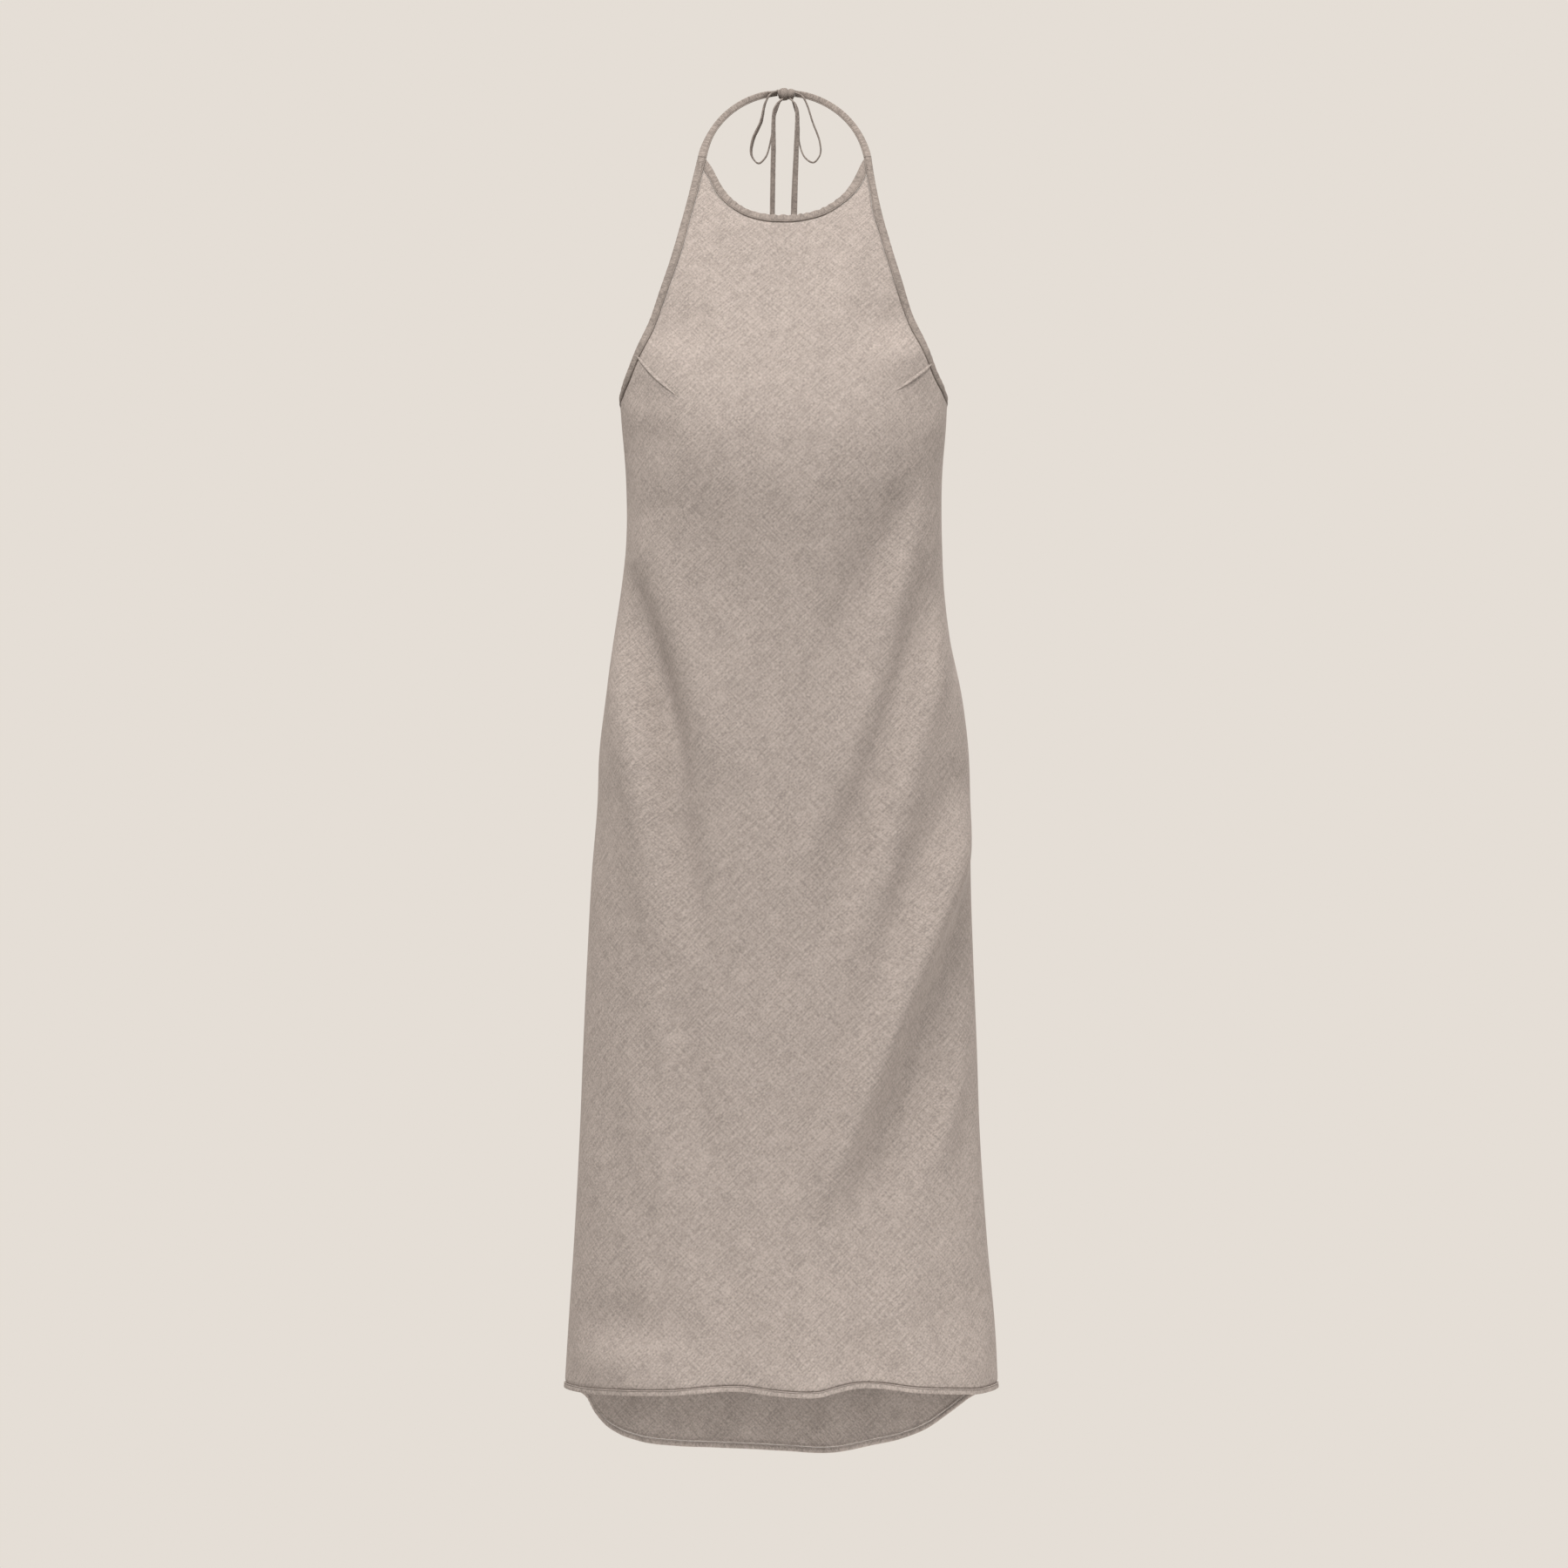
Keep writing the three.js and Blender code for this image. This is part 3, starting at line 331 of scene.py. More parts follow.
# Steps of the meshes
CENTRIPETAL = 0.5
DENSE_STEPS = 600
PANEL_COLUMNS = 116
SKIRT_ROWS = 236
BACK_ROWS = 250
BIB_ROWS = 72
TOP_STEPS = 240
BINDING_ROWS = 150
BINDING_TOP_STEPS = 10
NECK_STEPS = 190
FAN_STEPS = 8
BAND_STEPS = 330
STRAP_STEPS = 90
LOOP_STEPS = 110
TAIL_STEPS = 120
SEAM_STEPS = 200
DART_STEPS = 40
EDGE_COLUMNS = (0.0022, 0.0055, 0.01)
EDGE_ROWS = (0.001, 0.0026, 0.005)
TOP_ROWS = (0.005, 0.012)
MAP_LEVELS = 160
MAP_TURNS = 161
MAP_REACH = 1.95

# Section of a folded binding, from its inner edge (0) to its fold (1): the share of its width and
# the height. The stitching sinks into the outer side beside the inner edge
BINDING_SECTION = table(("share", "height"), [
    (0, 0), (0, 0.8), (22, 1.3), (60, 1.42), (108, 1.2), (142, 0.66), (176, 0.62), (212, 1.0),
    (300, 1.16), (500, 1.2), (720, 1.18), (880, 1.04), (960, 0.7), (1000, 0.1), (965, -0.6),
    (880, -1.02), (700, -1.16), (450, -1.18), (200, -1.04), (160, -0.8), (110, -1.02), (20, -0.9),
    (0, -0.5),
])
SECTION_SHARE = BINDING_SECTION["share"]
SECTION_HEIGHT = BINDING_SECTION["height"]
STITCH_RING = 5
STITCH_SINK = 0.06 * MM
STITCH_SIDES = 6
STITCH_RINGS = 4
STITCH_FLATNESS = 0.8

# Unevenness of the wrinkles' spacing and size: how much, how fast, and its share of the start
PUCKER_SPACING = ((1.3, 0.73, 1), (0.7, 1.9, 2))
PUCKER_SIZE = 0.6
PUCKER_SIZES = ((0.28, 0.41, 1), (0.12, 1.27, -1))
# How much of the wrinkles is left at the stitching
STITCHED_SHARE = 0.35
TIE_STITCHED_SHARE = 0.3

# Wrinkles of each stitched edge: height, way from one to the next, slant and start
NECK_PUCKER = (0.5 * MM, 9.4 * MM, 0.9, 0.4)
BACK_PUCKER = (0.24 * MM, 9 * MM, 1.4, 2.9)
ARMHOLE_PUCKER = {
    LEFT: (0.22 * MM, 8.2 * MM, 1.6, 1.1),
    RIGHT: (0.22 * MM, 8.6 * MM, -1.6, 4.2),
}
HEM_PUCKER = (0.55 * MM, 5.6 * MM, 3.8)
FRONT_HEM_START = 0.6
BACK_HEM_START = 2.2
SCALLOP_HEIGHT = 0.8 * MM
SCALLOP_WAVE = 8.6 * MM
SCALLOP_REACH = 52 * MM
STRAP_RELIEF = 0.16 * MM
STRAP_WAVE = 8 * MM
STRAP_SLANT = 2.4
STRAP_PUCKER_START = 1.7
STRAP_PUCKER_RISE = 0.1
TIE_RELIEF = 0.1 * MM

# Seam allowance and dart sections, as shares of their half width and heights
ALLOWANCE_WIDTH = 9 * MM
ALLOWANCE_INSET = 14 * MM
ALLOWANCE_SECTION = table(("share", "height"), [
    (-1000, -1), (-980, -0.7), (-500, -0.55), (-60, -0.5), (0, -0.75), (60, -0.5), (500, -0.55),
    (980, -0.7), (1000, -1), (500, -1.2), (0, -1.25), (-500, -1.2),
])
DART_HALF_WIDTH = 2 * MM
DART_POINT = 0.001
DART_FADE = 0.6
DART_SECTION = table(("share", "height"), [
    (-1000, -0.5), (-960, 0), (-500, 0.7), (100, 1.3), (500, 1.45), (680, 1), (720, -0.5), (0, -0.6),
])
DART_LINE = {
    LEFT: table(("side", "z"), [(145.5, -278.5), (131.2, -294), (102, -323)]),
    RIGHT: table(("side", "z"), [(146.2, -286.5), (130.8, -300), (107, -318)]),
}

# The straps turn a little as they come to the knot, in degrees
STRAP_TWIST = {LEFT: 58, RIGHT: -24}
STRAP_TWIST_START = 0.82
STRAP_BLEND = 0.12
TIE_WALL_SHARE = 0.66

# Rolls of the knot: place along X, half depth, half height, thickness, width, tilt and lean
KNOT_ROLLS = [
    ("knot_core", 2.5, 5.6, 4.9, 5.5, 16.6, 0, 0),
    ("knot_wrap", 0, 7.3, 6.5, 2.4, 7.4, 4, 3),
    ("knot_roll_right", 7.1, 6.5, 5.6, 2.6, 6.4, -12, -6),
    ("knot_roll_left", -4.4, 5.4, 4.9, 2.2, 3, 12, 8),
]
ROLL_SEGMENTS = 48
ROLL_SIDES = 16

# Cloth: its face lies this far outside the middle of the wall, and its edges roll in
CLOTH_MAP = "Cloth"
CLOTH_FACE = 0.7 * MM
EDGE_ROLL = 0.9 * MM
EDGE_ROLL_WIDTH = 2 * MM
STRAP_WIDTH = 6.8 * MM
CLOTH_BIAS = QUARTER / 2
# Each pattern of the cloth: waves for each metre across and along the warp, and how strong it is
CLOTH_PATTERNS = {
    "warp streaks": ((620, 44), 1.5),
    "weft streaks": ((42, 580), 1.2),
    "warp slubs": ((330, 20), 0.25),
    "weft slubs": ((18, 300), 0.2),
    "warp threads": ((1900, 330), 2.8),
    "weft threads": ((330, 1900), 2.4),
    "mottling": ((62, 54), 0.16),
    "patches": ((15, 12), 0.2),
}
STREAK_DETAIL = 2
STREAK_ROUGHNESS = 0.55
MIDDLE = 0.5
# Colours of the darkest and palest threads, as shares of the cloth's own
CLOTH_SHADOW = 0.7
CLOTH_LIGHT = 1.3
# How much the streaks stand out in the cloth's relief, beside its threads
WARP_RELIEF = 0.8
WEFT_RELIEF = 0.6
THREAD_BUMP = {"Strength": 0.5, "Distance": 0.3 * MM}
LINEN_FACE = {
    "Roughness": 0.9, "Specular IOR Level": 0.25, "Sheen Weight": 0.3, "Sheen Roughness": 0.6,
}
THREAD_FACE = {"Roughness": 0.7, "Sheen Weight": 0.1}
FLOOR_FACE = {"Roughness": 0.95}

# Stage
FLOOR_SIDES = 96
FLOOR_DEPTH = 0.02
FLOOR_PLACE = (0, -0.1, -2.3)
WARM = (1, 0.98, 0.955)
PLAIN = (0.99, 0.99, 1)
# Soft squares of light: place, goal, size and colour. The key hangs above in front of the dress,
# and the hem light lies below it
NEAR_LIGHTS = {
    "key": ((-0.5, -3.4, 4.4), (0, -0.15, -0.6), 2.2, WARM),
    "hem": ((0.2, -0.55, -1.95), (0, 0, -1.36), 0.4, WARM),
}
# Soft lights from far away: where each comes from, how wide it looks, and its colour
LIGHTS = {
    "right": ((1, -0.45, 0.35), 0.9, PLAIN),
    "left": ((-1, -0.45, 0.25), 0.9, PLAIN),
    "low": ((0.1, -1, -0.42), 0.7, WARM),
    "behind": ((0.3, 1, 0.7), 0.8, PLAIN),
}
ROOM_COLOUR = (0.833, 0.777, 0.715)
ROOM_STRENGTH = 0.94
# The room is darker in front of the dress than behind it
FRONT_ROOM_SHARE = 0.49
ROOM_TURN = (-0.25, 0.3)
CAMERA_PLACE = (0, -6.095, -0.709)
CAMERA_LENS = 136.4
CAMERA_SENSOR = 36


def smooth(value, low, high):
    t = np.clip((value - low) / (high - low), 0, 1)
    return t * t * (3 - 2 * t)


def lerp(a, b, t):
    return a + (b - a) * t


def unit(vectors):
    return vectors / np.maximum(np.linalg.norm(vectors, axis=-1, keepdims=True), TINY)


def read(keys, values, at):
    """Smooth curve through a table's column, read at many places of its key column."""
    if keys[0] > keys[-1]:
        keys, values = keys[::-1], values[::-1]
    gaps = np.diff(keys)
    rises = np.diff(values) / gaps
    inner = (rises[:-1] * gaps[1:] + rises[1:] * gaps[:-1]) / (gaps[:-1] + gaps[1:])
    slopes = np.concatenate((rises[:1], inner, rises[-1:]))
    place = np.clip(at, keys[0], keys[-1])
    i = np.clip(np.searchsorted(keys, place) - 1, 0, len(gaps) - 1)
    t = (place - keys[i]) / gaps[i]
    return (
        (2 * t**3 - 3 * t**2 + 1) * values[i]
        + (t**3 - 2 * t**2 + t) * gaps[i] * slopes[i]
        + (3 * t**2 - 2 * t**3) * values[i + 1]
        + (t**3 - t**2) * gaps[i] * slopes[i + 1]
    )


def fold_place(folds, k, x, z):
    """Place along a fold's line, from 0 to 1, and the way aside from its bowed middle."""
    run_x = folds["to_x"][k] - folds["from_x"][k]
    run_z = folds["to_z"][k] - folds["from_z"][k]
    length = math.hypot(run_x, run_z)
    away_x = x - folds["from_x"][k]
    away_z = z - folds["from_z"][k]
    along = np.clip((away_x * run_x + away_z * run_z) / length**2, 0, 1)
    aside = (away_x * run_z - away_z * run_x) / length
    return along, aside - folds["bow"][k] * 4 * along * (1 - along)


def fold_height(folds, x, z):
    height = np.zeros_like(x)
    for k in range(len(folds["width"])):
        along, aside = fold_place(folds, k, x, z)
        off = aside / folds["width"][k]
        height += folds["height"][k] * np.exp(-off * off) * np.sin(np.pi * along)
    return height


def wall_height(walls, x, z):
    height = np.zeros_like(x)
    for k in range(len(walls["width"])):
        along, aside = fold_place(walls, k, x, z)
        off = aside / walls["width"][k]
        fade = np.sin(np.pi * along) ** WALL_FADE
        height -= walls["height"][k] * off * np.exp((1 - off * off) / 2) * fade
    return height


def ripple_height(x, z):
    height = np.zeros_like(x)
    for across, up, tall, start in RIPPLES:
        phase = 2 * np.pi * (x / (across * MM) + z / (up * MM)) + start
        height += tall * MM * np.sin(phase)
    return height


def skin(turn, z, fine=True):
    """Points of the cloth. The turn is 0 at centre front, a quarter turn at the right seam."""
    turn, z = np.broadcast_arrays(np.asarray(turn, float), np.asarray(z, float))
    left, right, seam_y, front, back = (
        read(BODY["z"], BODY[name], z) for name in ("left", "right", "seam_y", "front", "back")
    )
    across = np.sin(turn)
    to_front = np.cos(turn) >= 0
    half = np.where(across < 0, left, right)
    depth = np.where(to_front, front, back)
    reach = np.maximum(0, 1 - np.abs(across) ** OVAL_POWER) ** (1 / OVAL_POWER)
    x = half * across
    y = seam_y + np.where(to_front, -depth, depth) * reach
    aside = (np.abs(x) - BUST_SIDE) / BUST_SPREAD
    above = (z - BUST_Z) / BUST_SPREAD
    front_lift = fold_height(FRONT_FOLDS, x, z) + BUST_RISE * np.exp(-aside**2 - above**2)
    back_lift = fold_height(BACK_FOLDS, x, z)
    if fine:
        waves = ripple_height(x, z)
        front_lift += fold_height(FRONT_CREASES, x, z) + wall_height(FRONT_WALLS, x, z) + waves
        back_lift += fold_height(BACK_CREASES, x, z) + wall_height(BACK_WALLS, x, z) + waves
    lift = np.where(to_front, front_lift, back_lift) * smooth(np.abs(np.cos(turn)), 0, FOLD_FADE)
    out_x = x / half**2
    out_y = (y - seam_y) / depth**2
    size = np.maximum(np.hypot(out_x, out_y), TINY)
    return np.stack((x + out_x / size * lift, y + out_y / size * lift, z), axis=-1)


def skin_normal(turn, z):
    turn, z = np.broadcast_arrays(np.asarray(turn, float), np.asarray(z, float))
    round_it = skin(turn + TURN_STEP, z) - skin(turn - TURN_STEP, z)
    up_it = skin(turn, z + LEVEL_STEP) - skin(turn, z - LEVEL_STEP)
    return unit(np.cross(round_it, up_it))


def marks_at(points):
    """Marks (turn, level) of points that lie on or near the cloth."""
    x, y, z = points[..., 0], points[..., 1], points[..., 2]
    left, right, seam_y, front, back = (
        read(BODY["z"], BODY[name], z) for name in ("left", "right", "seam_y", "front", "back")
    )
    to_front = y <= seam_y
    across = np.abs(x) / np.where(x < 0, left, right)
    away = np.abs(y - seam_y) / np.where(to_front, front, back)
    radius = (across**OVAL_POWER + away**OVAL_POWER) ** (1 / OVAL_POWER)
    quarter = np.arcsin(np.clip(across / np.maximum(radius, TINY), 0, 1))
    turn = np.sign(x) * np.where(to_front, quarter, np.pi - quarter)
    return np.stack((turn, z), axis=-1)


def on_skin(marks, fine=True):
    return skin(marks[..., 0], marks[..., 1], fine)


def seam_turn(side, z):
    swing = read(SWING_Z, SWING[side], z)
    return side * (QUARTER - np.radians(swing))


def path_lengths(points):
    return np.concatenate(([0], np.cumsum(np.linalg.norm(np.diff(points, axis=0), axis=1))))


def path_runs(points):
    runs = np.empty_like(points)
    runs[1:-1] = points[2:] - points[:-2]
    runs[0] = points[1] - points[0]
    runs[-1] = points[-1] - points[-2]
    return unit(runs)


def read_columns(at, keys, rows):
    """Every column of some rows, read at many places of their key."""
    return np.stack([np.interp(at, keys, column) for column in rows.T], axis=-1)


def beside(marks, distance):
    """Marks beside a line of marks, moved over the cloth by a distance to the left of its run."""
    points = on_skin(marks, fine=False)
    inward = unit(np.cross(skin_normal(marks[:, 0], marks[:, 1]), path_runs(points)))
    return marks_at(points + inward * distance)


def spread(marks, steps):
    """Marks spaced evenly along a line of marks."""
    lengths = path_lengths(on_skin(marks, fine=False))
    return read_columns(np.linspace(0, lengths[-1], steps + 1), lengths, marks)


def catmull(points, steps):
    """Centripetal curve through points, read at even steps of its length, with each step's place."""
    points = np.asarray(points, float)
    ends = np.vstack((2 * points[0] - points[1], points, 2 * points[-1] - points[-2]))
    gaps = np.linalg.norm(np.diff(ends, axis=0), axis=1) ** CENTRIPETAL
    places = np.linspace(0, len(points) - 1, DENSE_STEPS + 1)
    index = np.minimum(places.astype(int), len(points) - 2)
    t = (places - index)[:, None]
    p0, p1, p2, p3 = (ends[index + k] for k in range(4))
    g0, g1, g2 = (gaps[index + k][:, None] for k in range(3))
    start = ((p1 - p0) / g0 - (p2 - p0) / (g0 + g1) + (p2 - p1) / g1) * g1
    end = ((p2 - p1) / g1 - (p3 - p1) / (g1 + g2) + (p3 - p2) / g2) * g1
    dense = (
        p1 + start * t + (3 * (p2 - p1) - 2 * start - end) * t**2
        + (2 * (p1 - p2) + start + end) * t**3
    )
    lengths = path_lengths(dense)
    goals = np.linspace(0, lengths[-1], steps + 1)
    return read_columns(goals, lengths, dense), np.interp(goals, lengths, places)


def armhole_outer(side):
    name = SIDE_NAME[side]
    z = np.linspace(UNDERARM_Z, NECK_CORNER_Z, DENSE_STEPS + 1)
    half = read(BODY["z"], BODY[name], z)
    lowest_z = ARMHOLE["z"][-1]
    above = read(ARMHOLE["z"], ARMHOLE[name], z)
    rounding = smooth(z, UNDERARM_Z, lowest_z) ** UNDERARM_ROUND
    below = lerp(half, ARMHOLE[name][-1], rounding)
    edge = np.where(z >= lowest_z, above, below)
    turn = side * np.arcsin(np.clip(edge / half, 0, 1))
    turn[0] = seam_turn(side, UNDERARM_Z)
    return np.stack((turn, z), axis=-1)


def neck_outer():
    left = np.stack((-NECKLINE["left"], NECK_CORNER_Z - NECKLINE["down"]), axis=-1)
    right = np.stack((NECKLINE["right"], NECK_CORNER_Z - NECKLINE["down"]), axis=-1)
    lowest = [[0, NECK_CORNER_Z - NECKLINE_DEPTH]]
    points, _ = catmull(np.vstack((left, lowest, right[::-1])), DENSE_STEPS)
    x, z = points[:, 0], points[:, 1]
    half = np.where(x < 0, read(BODY["z"], BODY["left"], z), read(BODY["z"], BODY["right"], z))
    return np.stack((np.arcsin(np.clip(x / half, -1, 1)), z), axis=-1)


INNER_LINE = BINDING_WIDTH
PANEL_LINE = BINDING_WIDTH + SEAM_GAP
ARMHOLE_OUTER = {side: armhole_outer(side) for side in SIDES}
ARMHOLE_PANEL = {side: beside(ARMHOLE_OUTER[side], side * PANEL_LINE) for side in SIDES}


def inside_armholes(marks):
    limit = np.where(
        marks[:, 0] < 0,
        -np.interp(marks[:, 1], ARMHOLE_PANEL[LEFT][:, 1], ARMHOLE_PANEL[LEFT][:, 0]),
        np.interp(marks[:, 1], ARMHOLE_PANEL[RIGHT][:, 1], ARMHOLE_PANEL[RIGHT][:, 0]),
    )
    return marks[np.abs(marks[:, 0]) <= limit]


NECK_OUTER = neck_outer()
NECK_EDGE = inside_armholes(NECK_OUTER)
NECK_INNER = inside_armholes(beside(NECK_OUTER, -INNER_LINE))
NECK_PANEL = inside_armholes(beside(NECK_OUTER, -PANEL_LINE))


def armhole_stations(side, low_steps, high_steps):
    """Outer, inner and panel lines of an armhole, from the underarm to the strap."""
    outer_line = ARMHOLE_OUTER[side]
    corner_z = NECK_PANEL[0 if side < 0 else -1, 1]
    split = int(np.argmax(ARMHOLE_PANEL[side][:, 1] >= corner_z))
    low = spread(outer_line[:split + 1], low_steps)
    high = spread(outer_line[split:], high_steps)
    outer = np.vstack((low, high[1:]))
    inner = beside(outer, side * INNER_LINE)
    edge = beside(outer, side * PANEL_LINE)
    for line in (outer, inner, edge):
        line[0, 0] = seam_turn(side, line[0, 1]) - side * way_turn(SEAM_GAP / 2, line[0, 0], line[0, 1])
    return outer, inner, edge


def way_turn(way, turn, z):
    """A short way round the dress, as an angle."""
    chord = skin(turn + TURN_STEP, z, False) - skin(turn - TURN_STEP, z, False)
    return way * 2 * TURN_STEP / np.linalg.norm(chord, axis=-1)


def front_turn(across, z):
    left = seam_turn(LEFT, z)
    right = seam_turn(RIGHT, z)
    gap = way_turn(SEAM_GAP / 2, right, z)
    return lerp(left + gap, right - gap, across)


def back_turn(across, z):
    right = seam_turn(RIGHT, z)
    left = seam_turn(LEFT, z) + 2 * np.pi
    gap = way_turn(SEAM_GAP / 2, right, z)
    return lerp(right + gap, left - gap, across)


def hem_line(turn_at, waves, across, above):
    """Marks of a hem's edge, or of the line a given way above it."""
    level = np.full_like(across, HEM_Z + above)
    x = skin(turn_at(across, level), level, False)[..., 0]
    z = level + read(waves["side"], waves["rise"], x)
    return np.stack((turn_at(across, z), z), axis=-1)


def back_top_line(down, across):
    """Marks of the low back's edge, or of the line a given way below it."""
    turn = back_turn(across, np.full_like(across, UNDERARM_Z))
    z = UNDERARM_Z - BACK_SCOOP * np.maximum(0, -np.cos(turn)) ** BACK_SCOOP_POWER
    marks = np.stack((back_turn(across, z), z), axis=-1)
    if down == 0:
        return marks
    moved = beside(marks, -down)
    return np.stack((back_turn(across, moved[:, 1]), moved[:, 1]), axis=-1)


def close_at_ends(count, steps, at_start=True, at_end=True):
    """Places from 0 to 1, even apart from a few more beside each end."""
    places = [np.linspace(0, 1, count + 1)]
    if at_start:
        places.append(np.array(steps))
    if at_end:
        places.append(1 - np.array(steps))
    return np.unique(np.concatenate(places))


def front_marks():
    across = close_at_ends(PANEL_COLUMNS, EDGE_COLUMNS)
    left_edge, right_edge = (ARMHOLE_LINES[side][2][:BIB_ROWS + 1] for side in SIDES)
    split_z = min(left_edge[0, 1], right_edge[0, 1])
    hem = hem_line(front_turn, FRONT_HEM, across, HEM_WIDTH + SEAM_GAP)
    rows = close_at_ends(SKIRT_ROWS, EDGE_ROWS, at_end=False)[:-1]
    skirt_z = lerp(hem[None, :, 1], split_z, rows[:, None])
    skirt = np.stack((front_turn(across[None, :], skirt_z), skirt_z), axis=-1)
    top = spread(NECK_PANEL, TOP_STEPS)
    top[0] = left_edge[-1]
    top[-1] = right_edge[-1]
    even = np.linspace(0, 1, TOP_STEPS + 1)
    top = read_columns(across, even, top)
    places = close_at_ends(BIB_ROWS, TOP_ROWS, at_start=False)
    steps = np.linspace(0, 1, BIB_ROWS + 1)
    left, right = (read_columns(places, steps, edge) for edge in (left_edge, right_edge))
    rise = [(line[:, 1] - line[0, 1]) / (line[-1, 1] - line[0, 1]) for line in (left, right)]
    up = lerp(rise[0][:, None], rise[1][:, None], across[None, :])
    top_share = (top[:, 0] - top[0, 0]) / (top[-1, 0] - top[0, 0])
    share = lerp(across[None, :], top_share[None, :], up)
    turn = lerp(left[:, None, 0], right[:, None, 0], share)
    base = lerp(left[0, 1], right[0, 1], across)
    bib = np.stack((turn, lerp(base[None, :], top[None, :, 1], up)), axis=-1)
    bib[:, 0] = left
    bib[:, -1] = right
    bib[-1] = top
    return np.vstack((skirt, bib))


def back_marks():
    across = close_at_ends(PANEL_COLUMNS, EDGE_COLUMNS)
    hem = hem_line(back_turn, BACK_HEM, across, HEM_WIDTH + SEAM_GAP)
    top = back_top_line(PANEL_LINE, across)
    rows = close_at_ends(BACK_ROWS, EDGE_ROWS)
    z = lerp(hem[None, :, 1], top[None, :, 1], rows[:, None])
    return np.stack((back_turn(across[None, :], z), z), axis=-1)


def square_across(lower):
    """Marks of the neck edge that lie straight across the binding from its lower marks."""
    goals = on_skin(lower, fine=False)
    edge = on_skin(NECK_EDGE, fine=False)
    nearest = np.linalg.norm(goals[:, None] - edge[None], axis=-1).argmin(axis=1)
    return NECK_EDGE[nearest]


def neck_lines(lower):
    """Inner and outer lines of the neck binding. Its ends fan up to the armhole bindings."""
    upper = square_across(lower)
    edge = on_skin(NECK_EDGE, fine=False)
    first = np.linalg.norm(edge - on_skin(upper[:1], fine=False), axis=-1).argmin()
    last = np.linalg.norm(edge - on_skin(upper[-1:], fine=False), axis=-1).argmin()
    start = NECK_EDGE[np.linspace(0, first, FAN_STEPS + 1).astype(int)[:-1]]
    end = NECK_EDGE[np.linspace(last, len(NECK_EDGE) - 1, FAN_STEPS + 1).astype(int)[1:]]
    inner = np.vstack((np.repeat(lower[:1], len(start), 0), lower, np.repeat(lower[-1:], len(end), 0)))
    return inner, np.vstack((start, upper, end))


def scallops(marks):
    """Small rises and dips of a drawn-in edge, strongest in its middle."""
    points = on_skin(marks, fine=False)
    lengths = path_lengths(points)
    fade = np.exp(-(points[:, 0] / SCALLOP_REACH) ** 2)
    rise = SCALLOP_HEIGHT * fade * pucker(lengths, SCALLOP_WAVE, 0, 1)[:, 0]
    return np.stack((np.zeros_like(rise), rise), axis=-1)


ARMHOLE_LINES = {side: armhole_stations(side, BIB_ROWS, BINDING_TOP_STEPS) for side in SIDES}


# Building the meshes

def select_only(piece):
    bpy.ops.object.select_all(action="DESELECT")
    piece.select_set(True)
    bpy.context.view_layer.objects.active = piece


def apply_modifiers(piece):
    select_only(piece)
    for modifier in list(piece.modifiers):
        bpy.ops.object.modifier_apply(modifier=modifier.name)


def edit_whole():
    """Opens the active piece with all of its mesh selected."""
    bpy.ops.object.mode_set(mode="EDIT")
    bpy.ops.mesh.select_all(action="SELECT")


def face_outwards(piece):
    select_only(piece)
    edit_whole()
    bpy.ops.mesh.normals_make_consistent(inside=False)
    bpy.ops.object.mode_set(mode="OBJECT")


def mesh_object(name, points, faces, uv=None):
    """New smooth object from points and faces, with a place on the flat cloth for each point."""
    mesh = bpy.data.meshes.new(name)
    mesh.from_pydata(np.asarray(points).tolist(), [], faces)
    mesh.polygons.foreach_set("use_smooth", np.ones(len(mesh.polygons), bool))
    if uv is not None:
        layer = mesh.uv_layers.new(name=CLOTH_MAP)
        corners = np.empty(len(mesh.loops), np.int32)
        mesh.loops.foreach_get("vertex_index", corners)
        layer.data.foreach_set("uv", np.asarray(uv)[corners].ravel())
    mesh.update()
    piece = bpy.data.objects.new(name, mesh)
    bpy.context.scene.collection.objects.link(piece)
    return piece


def grid_faces(rows, columns, round_it=False):
    """Four-sided faces of a grid of points. A grid that goes round joins its last column to its first."""
    index = np.arange(rows * columns).reshape(rows, columns)
    if round_it:
        index = np.hstack((index, index[:, :1]))
    corners = (index[:-1, :-1], index[:-1, 1:], index[1:, 1:], index[1:, :-1])
    return np.stack([corner.ravel() for corner in corners], axis=-1).tolist()


def cloth_places(marks, centre):
    """Places on the flat cloth, in metres: the length round from the centre line, and up it."""
    z_levels = np.linspace(marks[..., 1].min(), marks[..., 1].max(), MAP_LEVELS)
    turns = np.linspace(centre - MAP_REACH, centre + MAP_REACH, MAP_TURNS)
    grid = skin(turns[None, :], z_levels[:, None], False)
    steps = np.linalg.norm(np.diff(grid, axis=1), axis=-1)
    round_lengths = np.hstack((np.zeros((MAP_LEVELS, 1)), np.cumsum(steps, axis=1)))
    round_lengths -= round_lengths[:, MAP_TURNS // 2, None]
    up_lengths = path_lengths(grid[:, MAP_TURNS // 2])
    row = (marks[..., 1] - z_levels[0]) / (z_levels[-1] - z_levels[0]) * (MAP_LEVELS - 1)
    column = (marks[..., 0] - turns[0]) / (turns[-1] - turns[0]) * (MAP_TURNS - 1)
    r = np.clip(row.astype(int), 0, MAP_LEVELS - 2)
    c = np.clip(column.astype(int), 0, MAP_TURNS - 2)
    low = lerp(round_lengths[r, c], round_lengths[r, c + 1], column - c)
    high = lerp(round_lengths[r + 1, c], round_lengths[r + 1, c + 1], column - c)
    up = np.interp(marks[..., 1], z_levels, up_lengths)
    return np.stack((lerp(low, high, row - r), up), axis=-1)


def way_to_edge(points):
    ways = [points[:, :1], points[:, -1:], points[:1], points[-1:]]
    return np.minimum.reduce([np.linalg.norm(points - edge, axis=-1) for edge in ways])


